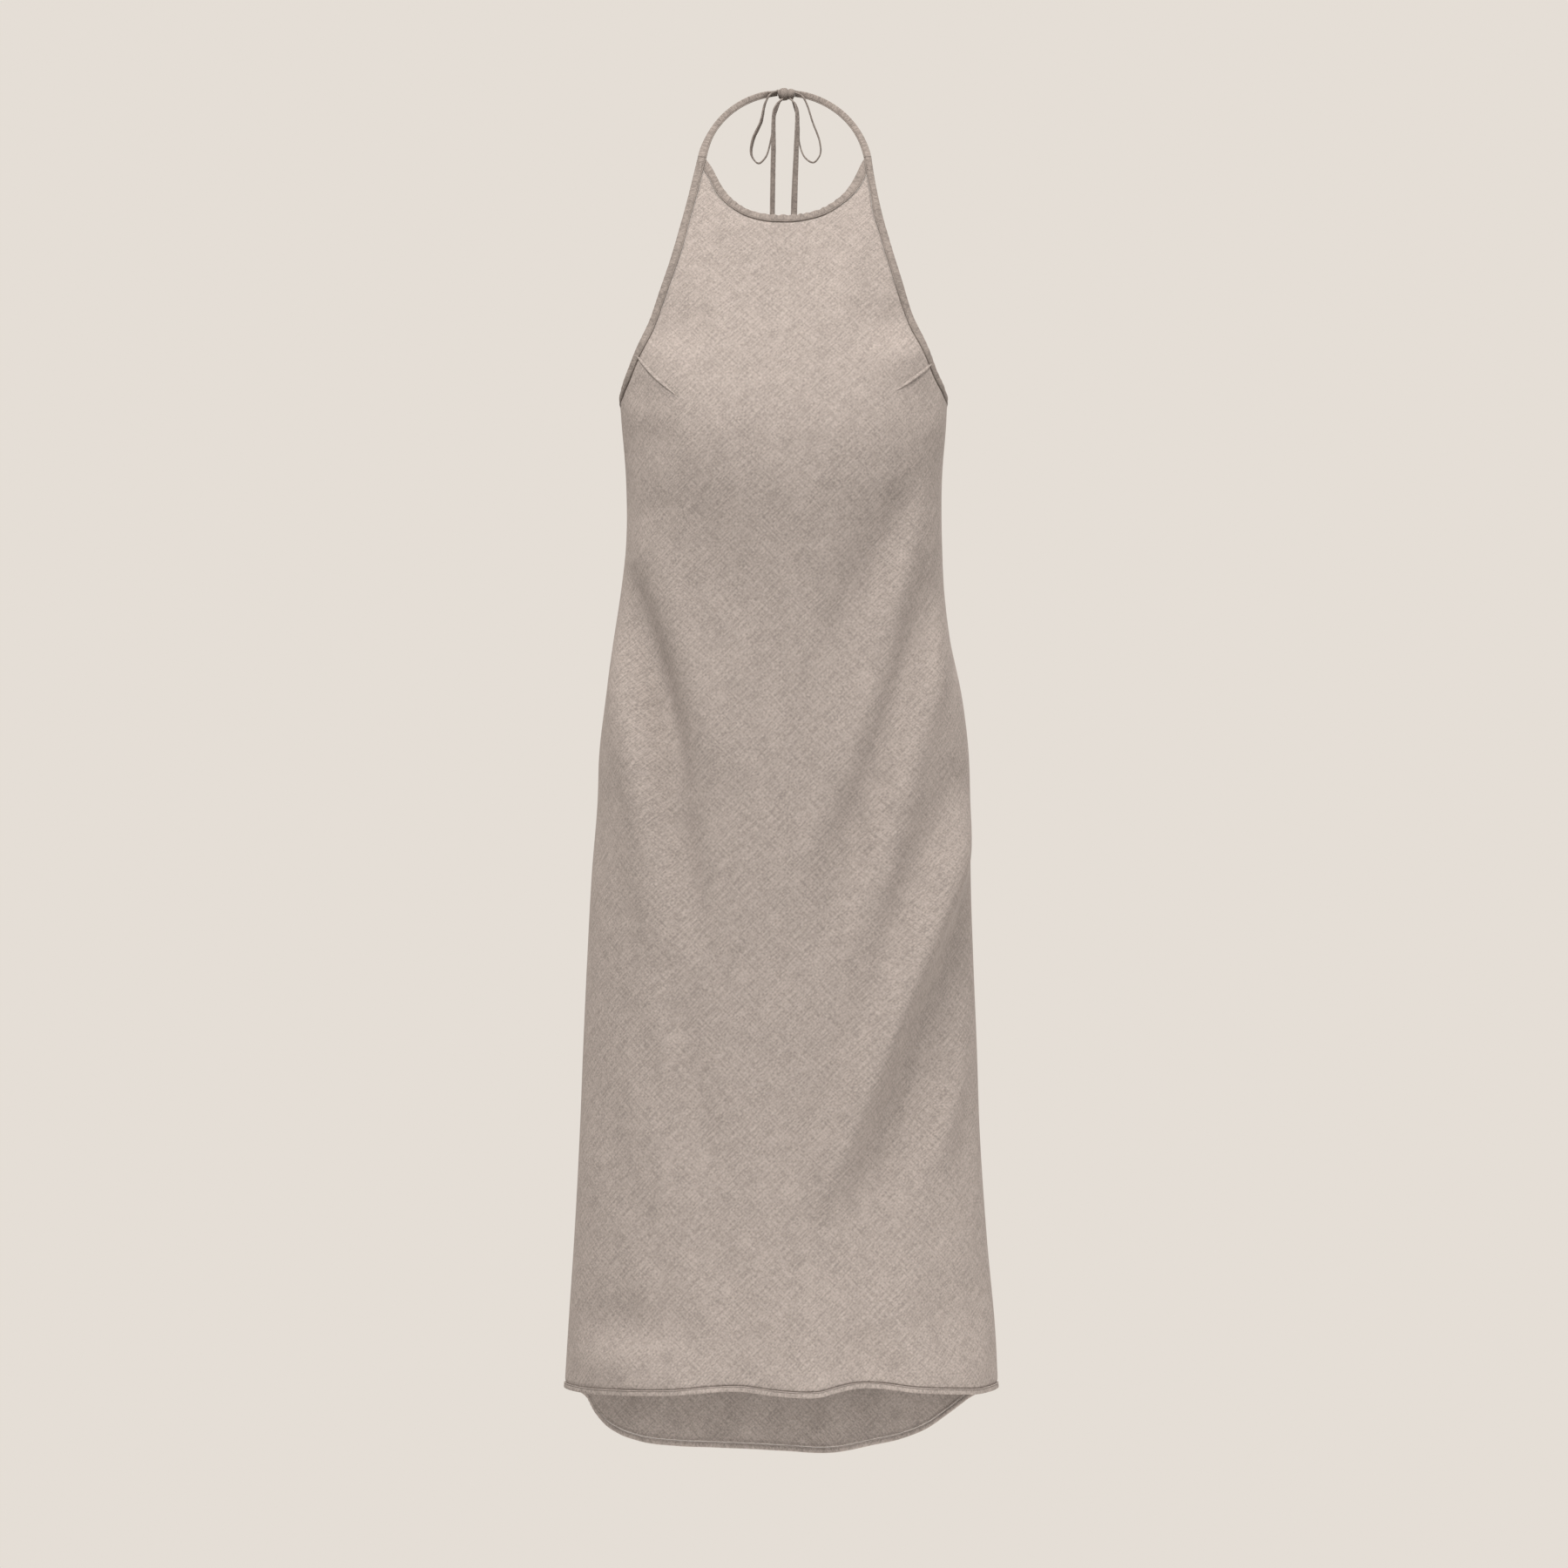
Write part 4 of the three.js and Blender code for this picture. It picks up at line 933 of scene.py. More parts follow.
def panel(name, marks, centre, wall):
    """Panel of cloth. Its outer face follows the skin, and its edges roll in at the seams."""
    points = on_skin(marks)
    normals = skin_normal(marks[..., 0], marks[..., 1])
    roll = EDGE_ROLL * np.exp(-(way_to_edge(points) / EDGE_ROLL_WIDTH) ** 2)
    points = points + normals * (CLOTH_FACE - roll)[..., None]
    rows, columns = marks.shape[:2]
    uv = cloth_places(marks, centre)
    piece = mesh_object(name, points.reshape(-1, 3), grid_faces(rows, columns), uv.reshape(-1, 2))
    shell = piece.modifiers.new("Cloth wall", "SOLIDIFY")
    shell.thickness = wall
    shell.offset = -1
    apply_modifiers(piece)
    return piece


def band(name, rings, width):
    """Closed band of cloth through rings of points."""
    count, around = rings.shape[:2]
    faces = grid_faces(count, around, True)
    ends = []
    for first, ring in ((0, rings[0]), ((count - 1) * around, rings[-1])):
        middle = count * around + len(ends)
        ends.append(ring.mean(axis=0))
        for k in range(around):
            faces.append([first + k, first + (k + 1) % around, middle])
    lengths = path_lengths(rings.mean(axis=1))
    across = 2 * width * np.abs(np.linspace(-0.5, 0.5, around, endpoint=False))
    uv = np.stack(np.broadcast_arrays(across[None, :], lengths[:, None]), axis=-1).reshape(-1, 2)
    uv = np.vstack((uv, [[width / 2, lengths[0]], [width / 2, lengths[-1]]]))
    piece = mesh_object(name, np.vstack((rings.reshape(-1, 3), ends)), faces, uv)
    face_outwards(piece)
    return piece


def swell(base, waves, place, start):
    for size, rate, shift in waves:
        base = base + size * np.sin(place * rate + shift * start)
    return base


def pucker(lengths, wave, slant, start):
    """Small drag wrinkles of a stitched edge, uneven along it, about 1 high."""
    place = lengths / wave
    along = swell(2 * np.pi * place, PUCKER_SPACING, place, start)
    size = swell(PUCKER_SIZE, PUCKER_SIZES, place, start)
    return size[:, None] * np.sin(along[:, None] + slant * SECTION_SHARE[None, :])


def skin_band(name, inner, outer, relief, wave, slant, start):
    """Binding or hem between two lines of marks on the cloth, with the line of its stitching."""
    share = SECTION_SHARE[None, :]
    turn = lerp(inner[:, :1], outer[:, :1], share)
    z = lerp(inner[:, 1:], outer[:, 1:], share)
    normal = skin_normal(turn, z)
    base = skin(turn, z)
    lengths = path_lengths(base.mean(axis=1))
    rise = relief * pucker(lengths, wave, slant, start) * lerp(STITCHED_SHARE, 1, share)
    height = SECTION_HEIGHT[None, :] + rise
    rings = base + normal * height[..., None]
    piece = band(name, rings, BINDING_WIDTH)
    stitches = rings[:, STITCH_RING] + normal[:, STITCH_RING] * STITCH_SINK
    return piece, stitches, normal[:, STITCH_RING]


def model_stitch(length, width):
    """One stitch, lying along X: its points and its faces."""
    bpy.ops.object.select_all(action="DESELECT")
    bpy.ops.mesh.primitive_uv_sphere_add(segments=STITCH_SIDES, ring_count=STITCH_RINGS, radius=0.5)
    piece = bpy.context.active_object
    edit_whole()
    bpy.ops.transform.rotate(value=QUARTER, orient_axis="Y", center_override=(0, 0, 0))
    bpy.ops.transform.resize(value=(length, width, width * STITCH_FLATNESS))
    bpy.ops.object.mode_set(mode="OBJECT")
    points = np.array([vertex.co[:] for vertex in piece.data.vertices])
    faces = [list(face.vertices) for face in piece.data.polygons]
    bpy.data.objects.remove(piece)
    return points, faces


def sew(name, points, outs, settings):
    """Copies of one stitch along a line, each lying on the cloth."""
    length = settings.stitch_length
    pattern, faces = model_stitch(length, settings.thread_width)
    lengths = path_lengths(points)
    count = int(lengths[-1] // (length + settings.stitch_gap))
    goals = (np.arange(count) + 0.5) * lengths[-1] / count
    centres, out, run = (
        read_columns(goals, lengths, line) for line in (points, unit(outs), path_runs(points))
    )
    run = unit(run)
    aside = unit(np.cross(out, run))
    up = np.cross(run, aside)
    frames = np.stack((run, aside, up), axis=1)
    placed = centres[:, None, :] + np.einsum("pk,nkj->npj", pattern, frames)
    all_faces = [
        [corner + copy * len(pattern) for corner in face] for copy in range(count) for face in faces
    ]
    piece = mesh_object(name, placed.reshape(-1, 3), all_faces)
    return finish_piece(piece, thread_material(settings), "binding")


def finish_piece(piece, material, slot, *nodes):
    """Gives a piece its cloth and its place on the dress."""
    piece.data.materials.clear()
    piece.data.materials.append(material)
    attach(piece, "root")
    if nodes:
        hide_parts(*nodes)
    return piece


# Sweeps of the neck loop and the bow

def strap_frames(side):
    """Centres, cross lines, outward lines and widths of a strap from its binding's end to the knot."""
    outer, inner = ARMHOLE_LINES[side][:2]
    outer_end = skin(*outer[-1])
    inner_end = skin(*inner[-1])
    start_centre = (outer_end + inner_end) / 2
    start_across = unit(outer_end - inner_end)
    start_width = np.linalg.norm(outer_end - inner_end)
    start_angle = math.asin(1 + start_centre[2] / ARCH_RISE)
    knot_x = KNOT_X[side] + side * SEAM_GAP
    end_angle = math.acos(abs(knot_x) / ARCH_HALF_WIDTH)
    t = np.linspace(0, 1, STRAP_STEPS + 1)
    angle = lerp(start_angle, end_angle, t)

    def arch(at):
        z = ARCH_RISE * (np.sin(at) - 1)
        return np.stack((side * ARCH_HALF_WIDTH * np.cos(at), z * ARCH_LEAN, z), axis=-1)

    shift = start_centre - arch(np.array(start_angle))
    centres = arch(angle) + (1 - smooth(t, 0, 1))[:, None] * shift
    runs = path_runs(centres)
    facing = smooth(t, 0, STRAP_TURN_SHARE)[:, None]
    rim = (side * np.cos(angle) / ARCH_HALF_WIDTH, np.zeros_like(angle), np.sin(angle) / ARCH_RISE)
    outward = unit(np.stack(rim, axis=-1))
    across = lerp(start_across, outward, facing)
    across = unit(across - runs * np.sum(across * runs, axis=-1, keepdims=True))
    thick = np.cross(runs, across)
    normal = skin_normal(*outer[-1])
    thick *= np.sign(np.dot(normal, thick[0]))
    widths = lerp(start_width, STRAP_WIDTH, facing[:, 0])
    return t, centres, runs, across, thick, widths


def turned(vectors, axes, angles):
    """Vectors turned about unit axes."""
    cosine = np.cos(angles)[:, None]
    sine = np.sin(angles)[:, None]
    along = np.sum(vectors * axes, axis=-1, keepdims=True)
    return vectors * cosine + np.cross(axes, vectors) * sine + axes * along * (1 - cosine)


def strip_rings(centres, across, thick, widths, height):
    """Rings of a flat strip: its centres, the ways across and through it, its widths and heights."""
    aside = (SECTION_SHARE[None, :] - 0.5) * widths[:, None]
    return centres[:, None] + across[:, None] * aside[..., None] + thick[:, None] * height[..., None]


def strap(side, settings):
    name = SIDE_NAME[side]
    t, centres, runs, across, thick, widths = strap_frames(side)
    twist = np.radians(STRAP_TWIST[side]) * smooth(t, STRAP_TWIST_START, 1)
    across = turned(across, runs, twist)
    thick = turned(thick, runs, twist)
    outer, inner = ARMHOLE_LINES[side][:2]
    share = SECTION_SHARE[None, :]
    lengths = path_lengths(centres)
    wrinkles = pucker(lengths, STRAP_WAVE, STRAP_SLANT, STRAP_PUCKER_START + side)
    rise = STRAP_RELIEF * wrinkles * lerp(STITCHED_SHARE, 1, share)
    height = SECTION_HEIGHT[None, :] + rise * smooth(t, 0, STRAP_PUCKER_RISE)[:, None]
    rings = strip_rings(centres, across, thick, widths, height)
    turn = lerp(inner[-1, 0], outer[-1, 0], SECTION_SHARE)
    z = lerp(inner[-1, 1], outer[-1, 1], SECTION_SHARE)
    first = skin(turn, z) + skin_normal(turn, z) * SECTION_HEIGHT[:, None] + runs[0] * SEAM_GAP
    blend = 1 - smooth(t, 0, STRAP_BLEND)
    rings = rings + blend[:, None, None] * (first - rings[0])[None]
    rings[-1, :, 0] = KNOT_X[side] + side * SEAM_GAP
    piece = band("strap_cloth_" + name, rings, STRAP_WIDTH)
    finish_piece(piece, binding_material(settings), "binding", "strap_" + name)
    stitches = rings[:, STITCH_RING] + thick * STITCH_SINK
    sew("strap_stitches_" + name, stitches, thick, settings)


def bar_tack(side, settings):
    """Short rows of stitches across a binding, where the neck binding goes under it."""
    outer, inner = ARMHOLE_LINES[side][:2]
    for k, station in enumerate(BAR_TACK_STATIONS):
        share = np.linspace(*BAR_TACK_SHARES, BAR_TACK_STEPS + 1)[:, None]
        marks = lerp(inner[station], outer[station], share)
        normals = skin_normal(marks[:, 0], marks[:, 1])
        points = on_skin(marks) + normals * (BAR_TACK_HEIGHT + STITCH_SINK)
        sew(f"bar_tack_{SIDE_NAME[side]}_{k + 1}", points, normals, settings)


def tie(name, rows, steps, settings, node):
    """Flat tie along a bowed line."""
    places = np.array(rows, float)
    points = places[:, :3] * MM
    centres, at = catmull(points, steps)
    runs = path_runs(centres)
    turn = np.radians(np.interp(at, np.arange(len(places)), places[:, 3]))
    flat = np.array([0, 1, 0]) - runs * runs[:, 1:2]
    across = turned(unit(flat), runs, turn)
    thick = np.cross(runs, across)
    lengths = path_lengths(centres)
    rise = TIE_RELIEF * pucker(lengths, STRAP_WAVE, STRAP_SLANT, places[0, 0])
    share = SECTION_SHARE[None, :]
    height = SECTION_HEIGHT[None, :] * TIE_WALL_SHARE + rise * lerp(TIE_STITCHED_SHARE, 1, share)
    rings = strip_rings(centres, across, thick, np.full(len(centres), STRAP_WIDTH), height)
    piece = band(name, rings, STRAP_WIDTH)
    finish_piece(piece, binding_material(settings), "binding", node)
    return piece


def wrap_roll(name, x, deep, high, thick, wide, tilt, lean):
    """Soft roll of tie cloth bound round the knot: a ring about X, leaned and tilted."""
    bpy.ops.object.select_all(action="DESELECT")
    bpy.ops.mesh.primitive_torus_add(
        major_segments=ROLL_SEGMENTS, minor_segments=ROLL_SIDES, major_radius=1 - thick / (2 * deep),
        minor_radius=thick / (2 * deep), rotation=(0, 0, 0),
    )
    piece = bpy.context.active_object
    piece.name = name
    edit_whole()
    origin = (0, 0, 0)
    bpy.ops.transform.rotate(value=QUARTER, orient_axis="Y", center_override=origin)
    bpy.ops.transform.resize(value=(wide * deep / thick, deep, high), center_override=origin)
    bpy.ops.transform.rotate(value=math.radians(tilt), orient_axis="Y", center_override=origin)
    bpy.ops.transform.rotate(value=math.radians(lean), orient_axis="Z", center_override=origin)
    bpy.ops.transform.translate(value=(x, 0, KNOT_Z))
    bpy.ops.object.mode_set(mode="OBJECT")
    bpy.ops.object.shade_smooth()
    piece.data.uv_layers[0].name = CLOTH_MAP
    return piece


# Cloth and thread

def add_node(tree, kind, **values):
    node = tree.nodes.new(kind)
    for name, value in values.items():
        setattr(node, name, value)
    return node


def maths(tree, operation, *values):
    """One sum of numbers and sockets."""
    node = add_node(tree, "ShaderNodeMath", operation=operation)
    for k, value in enumerate(values):
        if isinstance(value, bpy.types.NodeSocket):
            tree.links.new(value, node.inputs[k])
        else:
            node.inputs[k].default_value = value
    return node.outputs[0]


def stretched_noise(tree, vector, scale):
    """Noise drawn out into streaks. The scale gives waves per metre along each thread."""
    place = add_node(tree, "ShaderNodeMapping")
    place.inputs["Scale"].default_value = (*scale, 1)
    tree.links.new(vector, place.inputs["Vector"])
    noise = add_node(tree, "ShaderNodeTexNoise", noise_dimensions="3D")
    noise.inputs["Scale"].default_value = 1
    noise.inputs["Detail"].default_value = STREAK_DETAIL
    noise.inputs["Roughness"].default_value = STREAK_ROUGHNESS
    tree.links.new(place.outputs[0], noise.inputs["Vector"])
    return noise.outputs["Fac"]


def colour_mix(tree, share, first, second):
    """Colour between two colours."""
    mix = add_node(tree, "ShaderNodeMix", data_type="RGBA")
    factor = next(socket for socket in mix.inputs if socket.type == "VALUE")
    colours = [socket for socket in mix.inputs if socket.type == "RGBA"]
    tree.links.new(share, factor)
    for socket, colour in zip(colours, (first, second)):
        socket.default_value = (*colour, 1)
    return next(socket for socket in mix.outputs if socket.type == "RGBA")


def set_sockets(shader, values):
    for name, value in values.items():
        shader.inputs[name].default_value = value


def fresh_material(name):
    material = bpy.data.materials.get(name)
    if material is not None:
        return material, None
    material = bpy.data.materials.new(name)
    material.use_nodes = True
    return material, material.node_tree


def linen(name, colour):
    """Linen: crossing threads with slubs, soft mottling, a dry dull face and a faint nap."""
    material, tree = fresh_material(name)
    if tree is None:
        return material
    shader = tree.nodes["Principled BSDF"]
    place = add_node(tree, "ShaderNodeUVMap", uv_map=CLOTH_MAP)
    threads = add_node(tree, "ShaderNodeMapping")
    threads.inputs["Rotation"].default_value = (0, 0, CLOTH_BIAS)
    tree.links.new(place.outputs[0], threads.inputs["Vector"])
    noises = {
        pattern: stretched_noise(tree, threads.outputs[0], scale)
        for pattern, (scale, _) in CLOTH_PATTERNS.items()
    }
    shade = MIDDLE
    for pattern, (_, size) in CLOTH_PATTERNS.items():
        shade = maths(tree, "MULTIPLY_ADD", maths(tree, "SUBTRACT", noises[pattern], MIDDLE), size, shade)
    dark = [value * CLOTH_SHADOW for value in colour]
    pale = [min(value * CLOTH_LIGHT, 1) for value in colour]
    tree.links.new(colour_mix(tree, shade, dark, pale), shader.inputs["Base Color"])
    relief = maths(tree, "ADD", noises["warp threads"], noises["weft threads"])
    relief = maths(tree, "MULTIPLY_ADD", noises["warp streaks"], WARP_RELIEF, relief)
    relief = maths(tree, "MULTIPLY_ADD", noises["weft streaks"], WEFT_RELIEF, relief)
    bump = add_node(tree, "ShaderNodeBump")
    set_sockets(bump, THREAD_BUMP)
    tree.links.new(relief, bump.inputs["Height"])
    tree.links.new(bump.outputs[0], shader.inputs["Normal"])
    set_sockets(shader, LINEN_FACE)
    shader.inputs["Sheen Tint"].default_value = (*colour, 1)
    return material


def cloth_material(settings):
    return linen("Linen", settings.cloth_colour[:])


# Linen of the bindings, straps and bow, in a darker colour that paints their shade
def binding_material(settings):
    return linen("Linen binding", settings.binding_shaded_colour[:])


def plain_material(name, colour, face):
    material, tree = fresh_material(name)
    if tree is not None:
        set_sockets(tree.nodes["Principled BSDF"], {"Base Color": (*colour, 1), **face})
    return material


# Thread of all the stitching, dark enough to paint the shade of its sunk groove
def thread_material(settings):
    return plain_material("Sewing thread", settings.thread_and_groove_shade_colour[:], THREAD_FACE)


# Sizes and colours that a maker would change

class DressSettings(bpy.types.PropertyGroup):
    """Cloth, sewing and bow of the dress."""

    cloth_wall: bpy.props.FloatProperty(
        name="Cloth wall", description="Thickness of the linen of the front and back",
        default=0.9 * MM, min=0.4 * MM, max=1.4 * MM, unit="LENGTH", precision=4,
    )
    stitch_length: bpy.props.FloatProperty(
        name="Stitch length", description="Length of one stitch that shows",
        default=2.1 * MM, min=1 * MM, max=5 * MM, unit="LENGTH", precision=4,
    )
    stitch_gap: bpy.props.FloatProperty(
        name="Stitch gap", description="Way between two stitches, where the thread goes under",
        default=0.55 * MM, min=0.1 * MM, max=3 * MM, unit="LENGTH", precision=4,
    )
    thread_width: bpy.props.FloatProperty(
        name="Thread width", description="Thickness of the sewing thread",
        default=0.42 * MM, min=0.1 * MM, max=1 * MM, unit="LENGTH", precision=4,
    )
    cloth_colour: bpy.props.FloatVectorProperty(
        name="Cloth colour", description="Colour of the front and back", subtype="COLOR",
        default=(0.29, 0.251, 0.227), min=0, max=1,
    )
    # The bindings, straps, ties and knot are the same linen as the cloth; their darker colour is painted
    # shade of their narrow folds and of the knot's wraps
    binding_shaded_colour: bpy.props.FloatVectorProperty(
        name="Binding colour with painted shade", description="Colour of the bindings, straps and ties", subtype="COLOR",
        default=(0.21, 0.179, 0.159), min=0, max=1,
    )
    # The sewing thread is a little darker than the cloth; this much darker colour also paints the shade of
    # the sunk line of stitching
    thread_and_groove_shade_colour: bpy.props.FloatVectorProperty(
        name="Thread colour with painted groove shade", description="Colour of the sewing thread", subtype="COLOR",
        default=(0.13, 0.104, 0.088), min=0, max=1,
    )


class StageSettings(bpy.types.PropertyGroup):
    """Floor, lights and camera."""

    floor_colour: bpy.props.FloatVectorProperty(
        name="Floor colour", description="Colour of the plain floor", subtype="COLOR",
        default=(0.4, 0.385, 0.37), min=0, max=1,
    )
    floor_radius: bpy.props.FloatProperty(
        name="Floor radius", description="Radius of the floor under the dress",
        default=0.7, min=0.3, max=3, unit="LENGTH",
    )
    key: bpy.props.FloatProperty(
        name="Main light", description="Strength of the soft light from above in front", default=435, min=0,
    )
    right: bpy.props.FloatProperty(
        name="Right light", description="Strength of the soft light at the right", default=1.15, min=0,
    )
    left: bpy.props.FloatProperty(
        name="Left light", description="Strength of the soft light at the left", default=0.9, min=0,
    )
    low: bpy.props.FloatProperty(
        name="Low light", description="Strength of the weak light from low in front", default=0.34, min=0,
    )
    hem: bpy.props.FloatProperty(
        name="Hem light", description="Strength of the weak light below the hem", default=5, min=0,
    )
    behind: bpy.props.FloatProperty(
        name="Back light", description="Strength of the soft light behind", default=1.6, min=0,
    )


# One operator for each piece or group of like pieces

class MakePanels(bpy.types.Operator):
    """Make the front and back of the dress"""

    bl_idname = "halter_dress.panels"
    bl_label = "Front and back"

    def execute(self, context):
        settings = context.scene.halter_dress
        cloth = cloth_material(settings)
        front = panel("front_cloth", front_marks(), 0, settings.cloth_wall)
        finish_piece(front, cloth, "linen", "front")
        back = panel("back_cloth", back_marks(), math.pi, settings.cloth_wall)
        finish_piece(back, cloth, "linen", "back")
        return {"FINISHED"}


class MakeBindings(bpy.types.Operator):
    """Make the folded bindings of the neck, armholes and back, with their stitching"""

    bl_idname = "halter_dress.bindings"
    bl_label = "Bindings"

    def execute(self, context):
        settings = context.scene.halter_dress
        across = np.linspace(0, 1, BAND_STEPS + 1)
        lower = spread(NECK_INNER, NECK_STEPS)
        neck_inner, neck_edge = neck_lines(lower)
        neck_edge = neck_edge + scallops(neck_edge)
        bands = [
            ("neck", neck_inner, neck_edge, NECK_PUCKER, "neck_binding"),
            ("back", back_top_line(INNER_LINE, across), back_top_line(0, across), BACK_PUCKER,
             "back_binding"),
        ]
        for side in SIDES:
            outer, inner = armhole_stations(side, BINDING_ROWS, BINDING_TOP_STEPS)[:2]
            node = "armhole_binding_" + SIDE_NAME[side]
            bands.append(("armhole_" + SIDE_NAME[side], inner, outer, ARMHOLE_PUCKER[side], node))
        for name, inner, outer, wrinkles, node in bands:
            piece, stitches, outs = skin_band(name + "_binding_cloth", inner, outer, *wrinkles)
            finish_piece(piece, binding_material(settings), "binding", node)
            sew(name + "_binding_stitches", stitches, outs, settings)
        return {"FINISHED"}


class MakeHems(bpy.types.Operator):
    """Make the narrow turned hems, with their stitching"""

    bl_idname = "halter_dress.hems"
    bl_label = "Hems"

    def execute(self, context):
        settings = context.scene.halter_dress
        across = np.linspace(0, 1, BAND_STEPS + 1)
        hems = (
            ("front", front_turn, FRONT_HEM, FRONT_HEM_START),
            ("back", back_turn, BACK_HEM, BACK_HEM_START),
        )
        for name, turn_at, waves, start in hems:
            inner = hem_line(turn_at, waves, across, HEM_WIDTH)
            outer = hem_line(turn_at, waves, across, 0)
            wrinkles = (*HEM_PUCKER, start)
            piece, stitches, outs = skin_band(name + "_hem_cloth", inner, outer, *wrinkles)
            finish_piece(piece, cloth_material(settings), "linen", name + "_hem")
            sew(name + "_hem_stitches", stitches, outs, settings)
        return {"FINISHED"}


class MakeSeams(bpy.types.Operator):
    """Make the seam allowances inside the side seams, and the bust darts"""

    bl_idname = "halter_dress.seams"
    bl_label = "Side seams and darts"

    def execute(self, context):
        settings = context.scene.halter_dress
        for side in SIDES:
            self.allowance(side, settings)
            self.dart(side, settings)
        return {"FINISHED"}

    def allowance(self, side, settings):
        """Two pressed-open edges of cloth behind a side seam."""
        z = np.linspace(UNDERARM_Z - ALLOWANCE_INSET, HEM_Z + ALLOWANCE_INSET, SEAM_STEPS + 1)
        turn = seam_turn(side, z)
        reach = way_turn(ALLOWANCE_WIDTH, turn, z)
        share = ALLOWANCE_SECTION["share"][None, :]
        turns = turn[:, None] + reach[:, None] * share
        levels = np.broadcast_to(z[:, None], turns.shape)
        height = np.broadcast_to(ALLOWANCE_SECTION["height"][None, :], turns.shape)
        rings = skin(turns, levels) + skin_normal(turns, levels) * height[..., None]
        piece = band("seam_allowance_" + SIDE_NAME[side], rings, 2 * ALLOWANCE_WIDTH)
        finish_piece(piece, cloth_material(settings), "linen")

    def dart(self, side, settings):
        """Sewn fold of a bust dart, standing a little proud and fading at its ends."""
        line = DART_LINE[side]
        z = line["z"]
        half = read(BODY["z"], BODY[SIDE_NAME[side]], z)
        turn = side * np.arcsin(np.clip(line["side"] / half, 0, 1))
        marks = spread(catmull(np.stack((turn, z), axis=-1), DART_STEPS)[0], DART_STEPS)
        t = np.linspace(0, 1, DART_STEPS + 1)
        fade = np.sin(np.pi * np.clip(t, DART_POINT, 1 - DART_POINT)) ** DART_FADE
        points = on_skin(marks)
        normals = skin_normal(marks[:, 0], marks[:, 1])
        aside = unit(np.cross(path_runs(points), normals))
        share = -side * DART_SECTION["share"][None, :] * fade[:, None]
        height = CLOTH_FACE + DART_SECTION["height"][None, :] * fade[:, None]
        rings = (
            points[:, None]
            + aside[:, None] * (share * DART_HALF_WIDTH)[..., None]
            + normals[:, None] * height[..., None]
        )
        piece = band("dart_" + SIDE_NAME[side], rings, DART_HALF_WIDTH * 2)
        finish_piece(piece, cloth_material(settings), "linen")


class MakeStraps(bpy.types.Operator):
    """Make the straps of the neck loop, with their stitching"""

    bl_idname = "halter_dress.straps"
    bl_label = "Straps"

    def execute(self, context):
        settings = context.scene.halter_dress
        for side in SIDES:
            strap(side, settings)
            bar_tack(side, settings)
        return {"FINISHED"}


class MakeBow(bpy.types.Operator):
    """Make the knot, loops and tails of the bow"""

    bl_idname = "halter_dress.bow"
    bl_label = "Bow"

    def execute(self, context):
        settings = context.scene.halter_dress
        tie("bow_loop_cloth_left", LOOP_LEFT, LOOP_STEPS, settings, "bow_loop_left")
        tie("bow_loop_cloth_right", LOOP_RIGHT, LOOP_STEPS, settings, "bow_loop_right")
        tie("tail_cloth_left", TAIL_LEFT, TAIL_STEPS, settings, "tail_left")
        tie("tail_cloth_right", TAIL_RIGHT, TAIL_STEPS, settings, "tail_right")
        binding = binding_material(settings)
        for name, x, deep, high, thick, wide, tilt, lean in KNOT_ROLLS:
            sizes = (value * MM for value in (x, deep, high, thick, wide))
            piece = wrap_roll(name, *sizes, tilt, lean)
            nodes = ("knot",) if name == "knot_wrap" else ()
            finish_piece(piece, binding, "binding", *nodes)
        return {"FINISHED"}


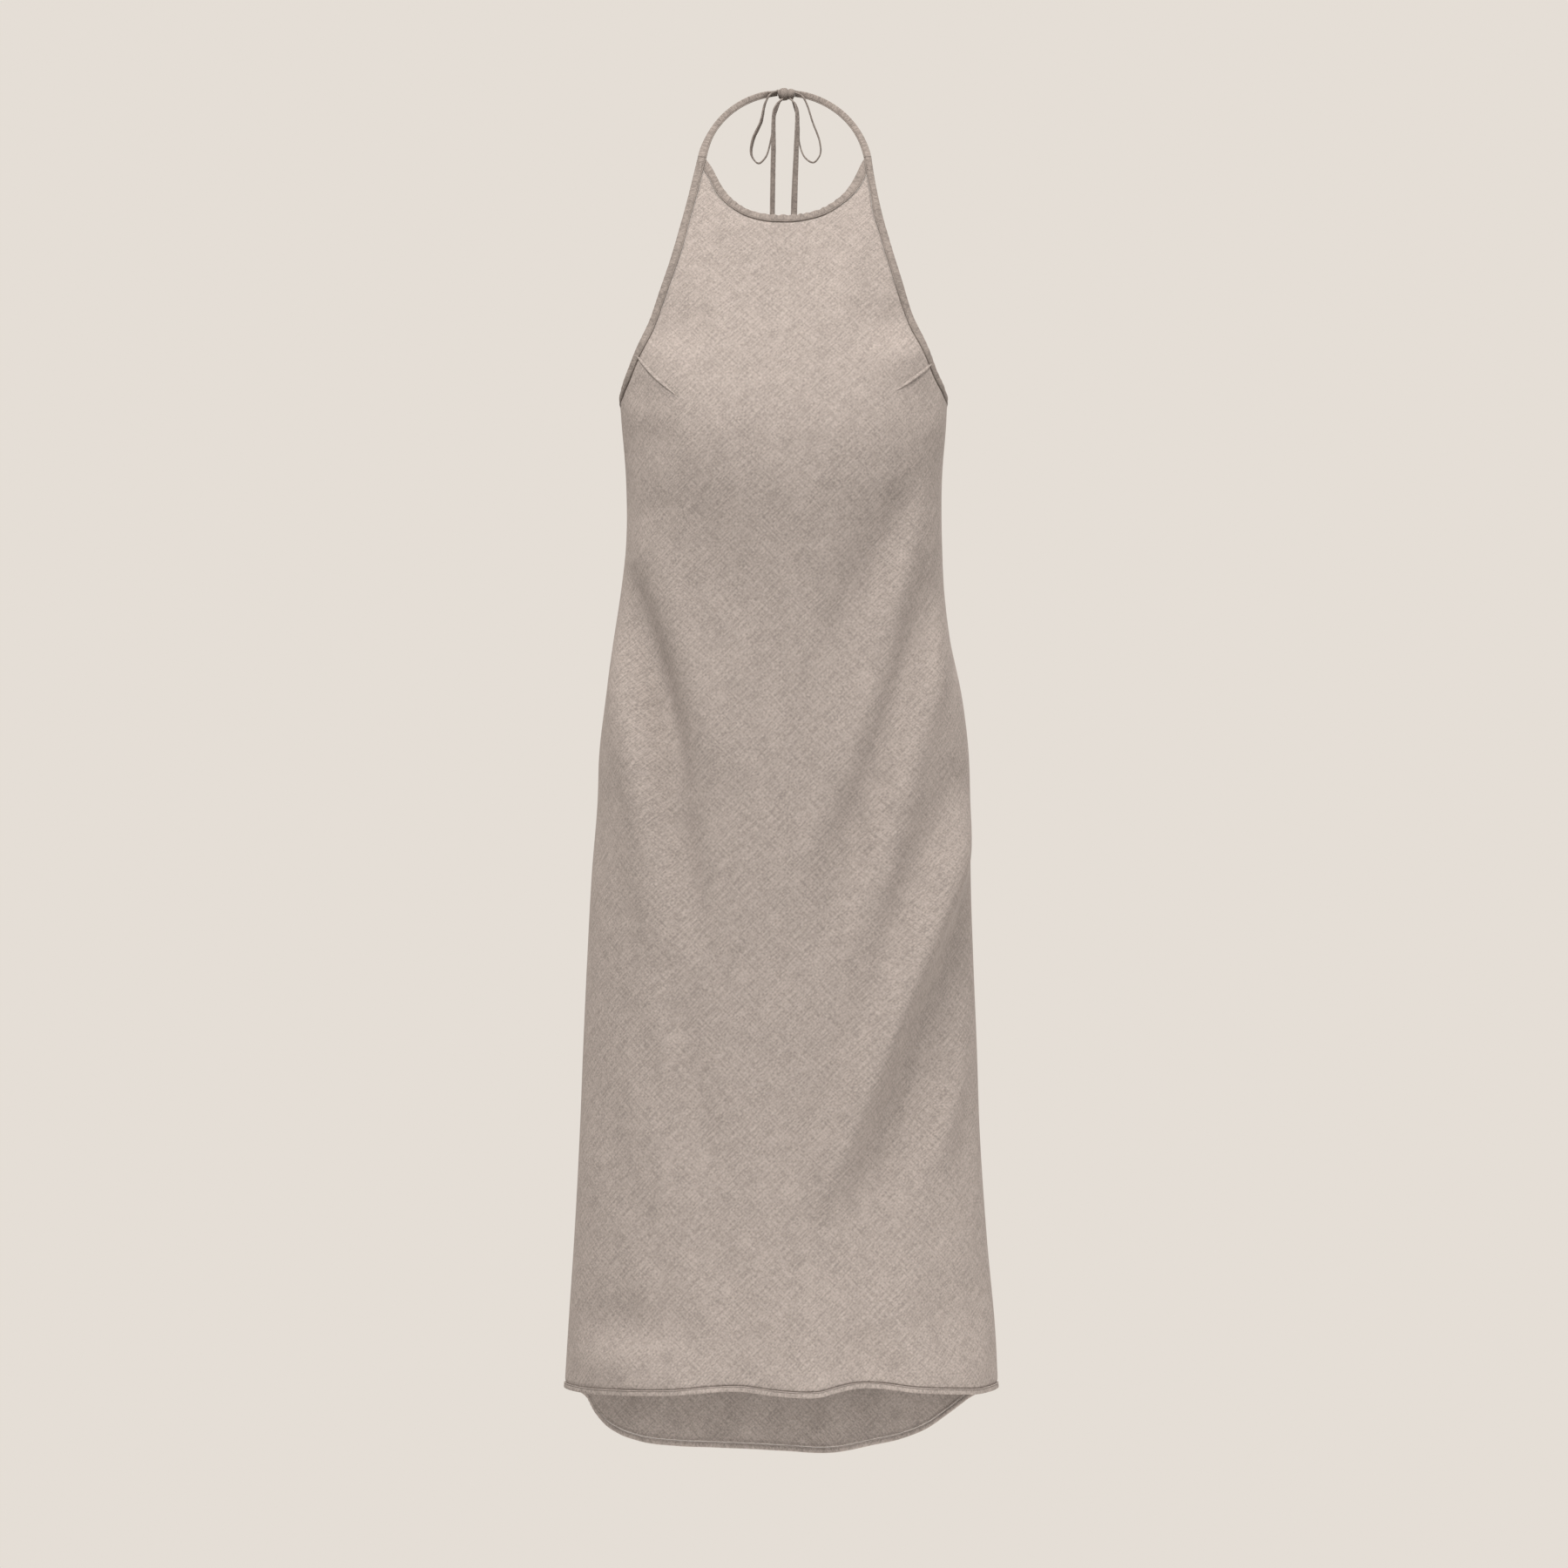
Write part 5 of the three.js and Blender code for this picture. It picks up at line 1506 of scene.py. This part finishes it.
class MakeStage(bpy.types.Operator):
    """Make the plain floor, the soft lights and the camera"""

    bl_idname = "halter_dress.stage"
    bl_label = "Stage"

    def execute(self, context):
        settings = context.scene.halter_dress_stage
        bpy.ops.object.select_all(action="DESELECT")
        bpy.ops.mesh.primitive_cylinder_add(
            vertices=FLOOR_SIDES, radius=settings.floor_radius, depth=FLOOR_DEPTH, location=FLOOR_PLACE,
        )
        floor = context.active_object
        floor.name = "floor"
        floor.data.materials.append(plain_material("Floor", settings.floor_colour[:], FLOOR_FACE))
        for name, (place, goal, size, colour) in NEAR_LIGHTS.items():
            way = Vector(place) - Vector(goal)
            lamp = self.light(context.scene, name, "AREA", getattr(settings, name), colour, way)
            lamp.location = place
            lamp.data.size = size
            lamp.visible_camera = False
        for name, (place, width, colour) in LIGHTS.items():
            sun = self.light(context.scene, name, "SUN", getattr(settings, name), colour, Vector(place))
            sun.data.angle = width
        self.surroundings(context.scene)
        self.camera(context.scene)
        return {"FINISHED"}

    def light(self, scene, name, kind, strength, colour, way):
        """Lamp that shines from a way."""
        lamp = bpy.data.lights.new(name, kind)
        lamp.energy = strength
        lamp.color = colour
        lamp_object = bpy.data.objects.new(name, lamp)
        lamp_object.rotation_euler = way.to_track_quat("Z", "Y").to_euler()
        scene.collection.objects.link(lamp_object)
        return lamp_object

    def surroundings(self, scene):
        """Pale room, its wall behind the dress brighter than the rest."""
        world = bpy.data.worlds.new("Soft room")
        world.use_nodes = True
        tree = world.node_tree
        background = tree.nodes["Background"]
        background.inputs["Strength"].default_value = ROOM_STRENGTH
        way = add_node(tree, "ShaderNodeTexCoord")
        parts = add_node(tree, "ShaderNodeSeparateXYZ")
        tree.links.new(way.outputs["Generated"], parts.inputs[0])
        share = add_node(tree, "ShaderNodeMapRange", interpolation_type="SMOOTHSTEP")
        share.inputs["From Min"].default_value = ROOM_TURN[0]
        share.inputs["From Max"].default_value = ROOM_TURN[1]
        tree.links.new(parts.outputs["Y"], share.inputs["Value"])
        front_colour = [value * FRONT_ROOM_SHARE for value in ROOM_COLOUR]
        mixed = colour_mix(tree, share.outputs[0], front_colour, ROOM_COLOUR)
        tree.links.new(mixed, background.inputs["Color"])
        scene.world = world
        scene.view_settings.view_transform = "Standard"

    def camera(self, scene):
        lens = bpy.data.cameras.new("camera")
        lens.lens = CAMERA_LENS
        lens.sensor_width = CAMERA_SENSOR
        camera = bpy.data.objects.new("camera", lens)
        camera.location = CAMERA_PLACE
        camera.rotation_euler = (QUARTER, 0, 0)
        scene.collection.objects.link(camera)
        scene.camera = camera


class DressPanel(bpy.types.Panel):
    """Sizes, colours and pieces of the dress"""

    bl_idname = "VIEW3D_PT_halter_dress"
    bl_label = "Halter dress"
    bl_space_type = "VIEW_3D"
    bl_region_type = "UI"
    bl_category = "Halter dress"

    def draw(self, context):
        for settings in (context.scene.halter_dress, context.scene.halter_dress_stage):
            for name in type(settings).__annotations__:
                self.layout.prop(settings, name)
        for maker in MAKERS:
            self.layout.operator(maker.bl_idname)


MAKERS = (MakePanels, MakeBindings, MakeHems, MakeSeams, MakeStraps, MakeBow, MakeStage)
CLASSES = (DressSettings, StageSettings, *MAKERS, DressPanel)


def register():
    for item in CLASSES:
        bpy.utils.register_class(item)
    bpy.types.Scene.halter_dress = bpy.props.PointerProperty(type=DressSettings)
    bpy.types.Scene.halter_dress_stage = bpy.props.PointerProperty(type=StageSettings)


def unregister():
    del bpy.types.Scene.halter_dress_stage
    del bpy.types.Scene.halter_dress
    for item in reversed(CLASSES):
        bpy.utils.unregister_class(item)


def main():
    register()
    for maker in MAKERS:
        group, name = maker.bl_idname.split(".")
        getattr(getattr(bpy.ops, group), name)()


if __name__ == "__main__":
    main()
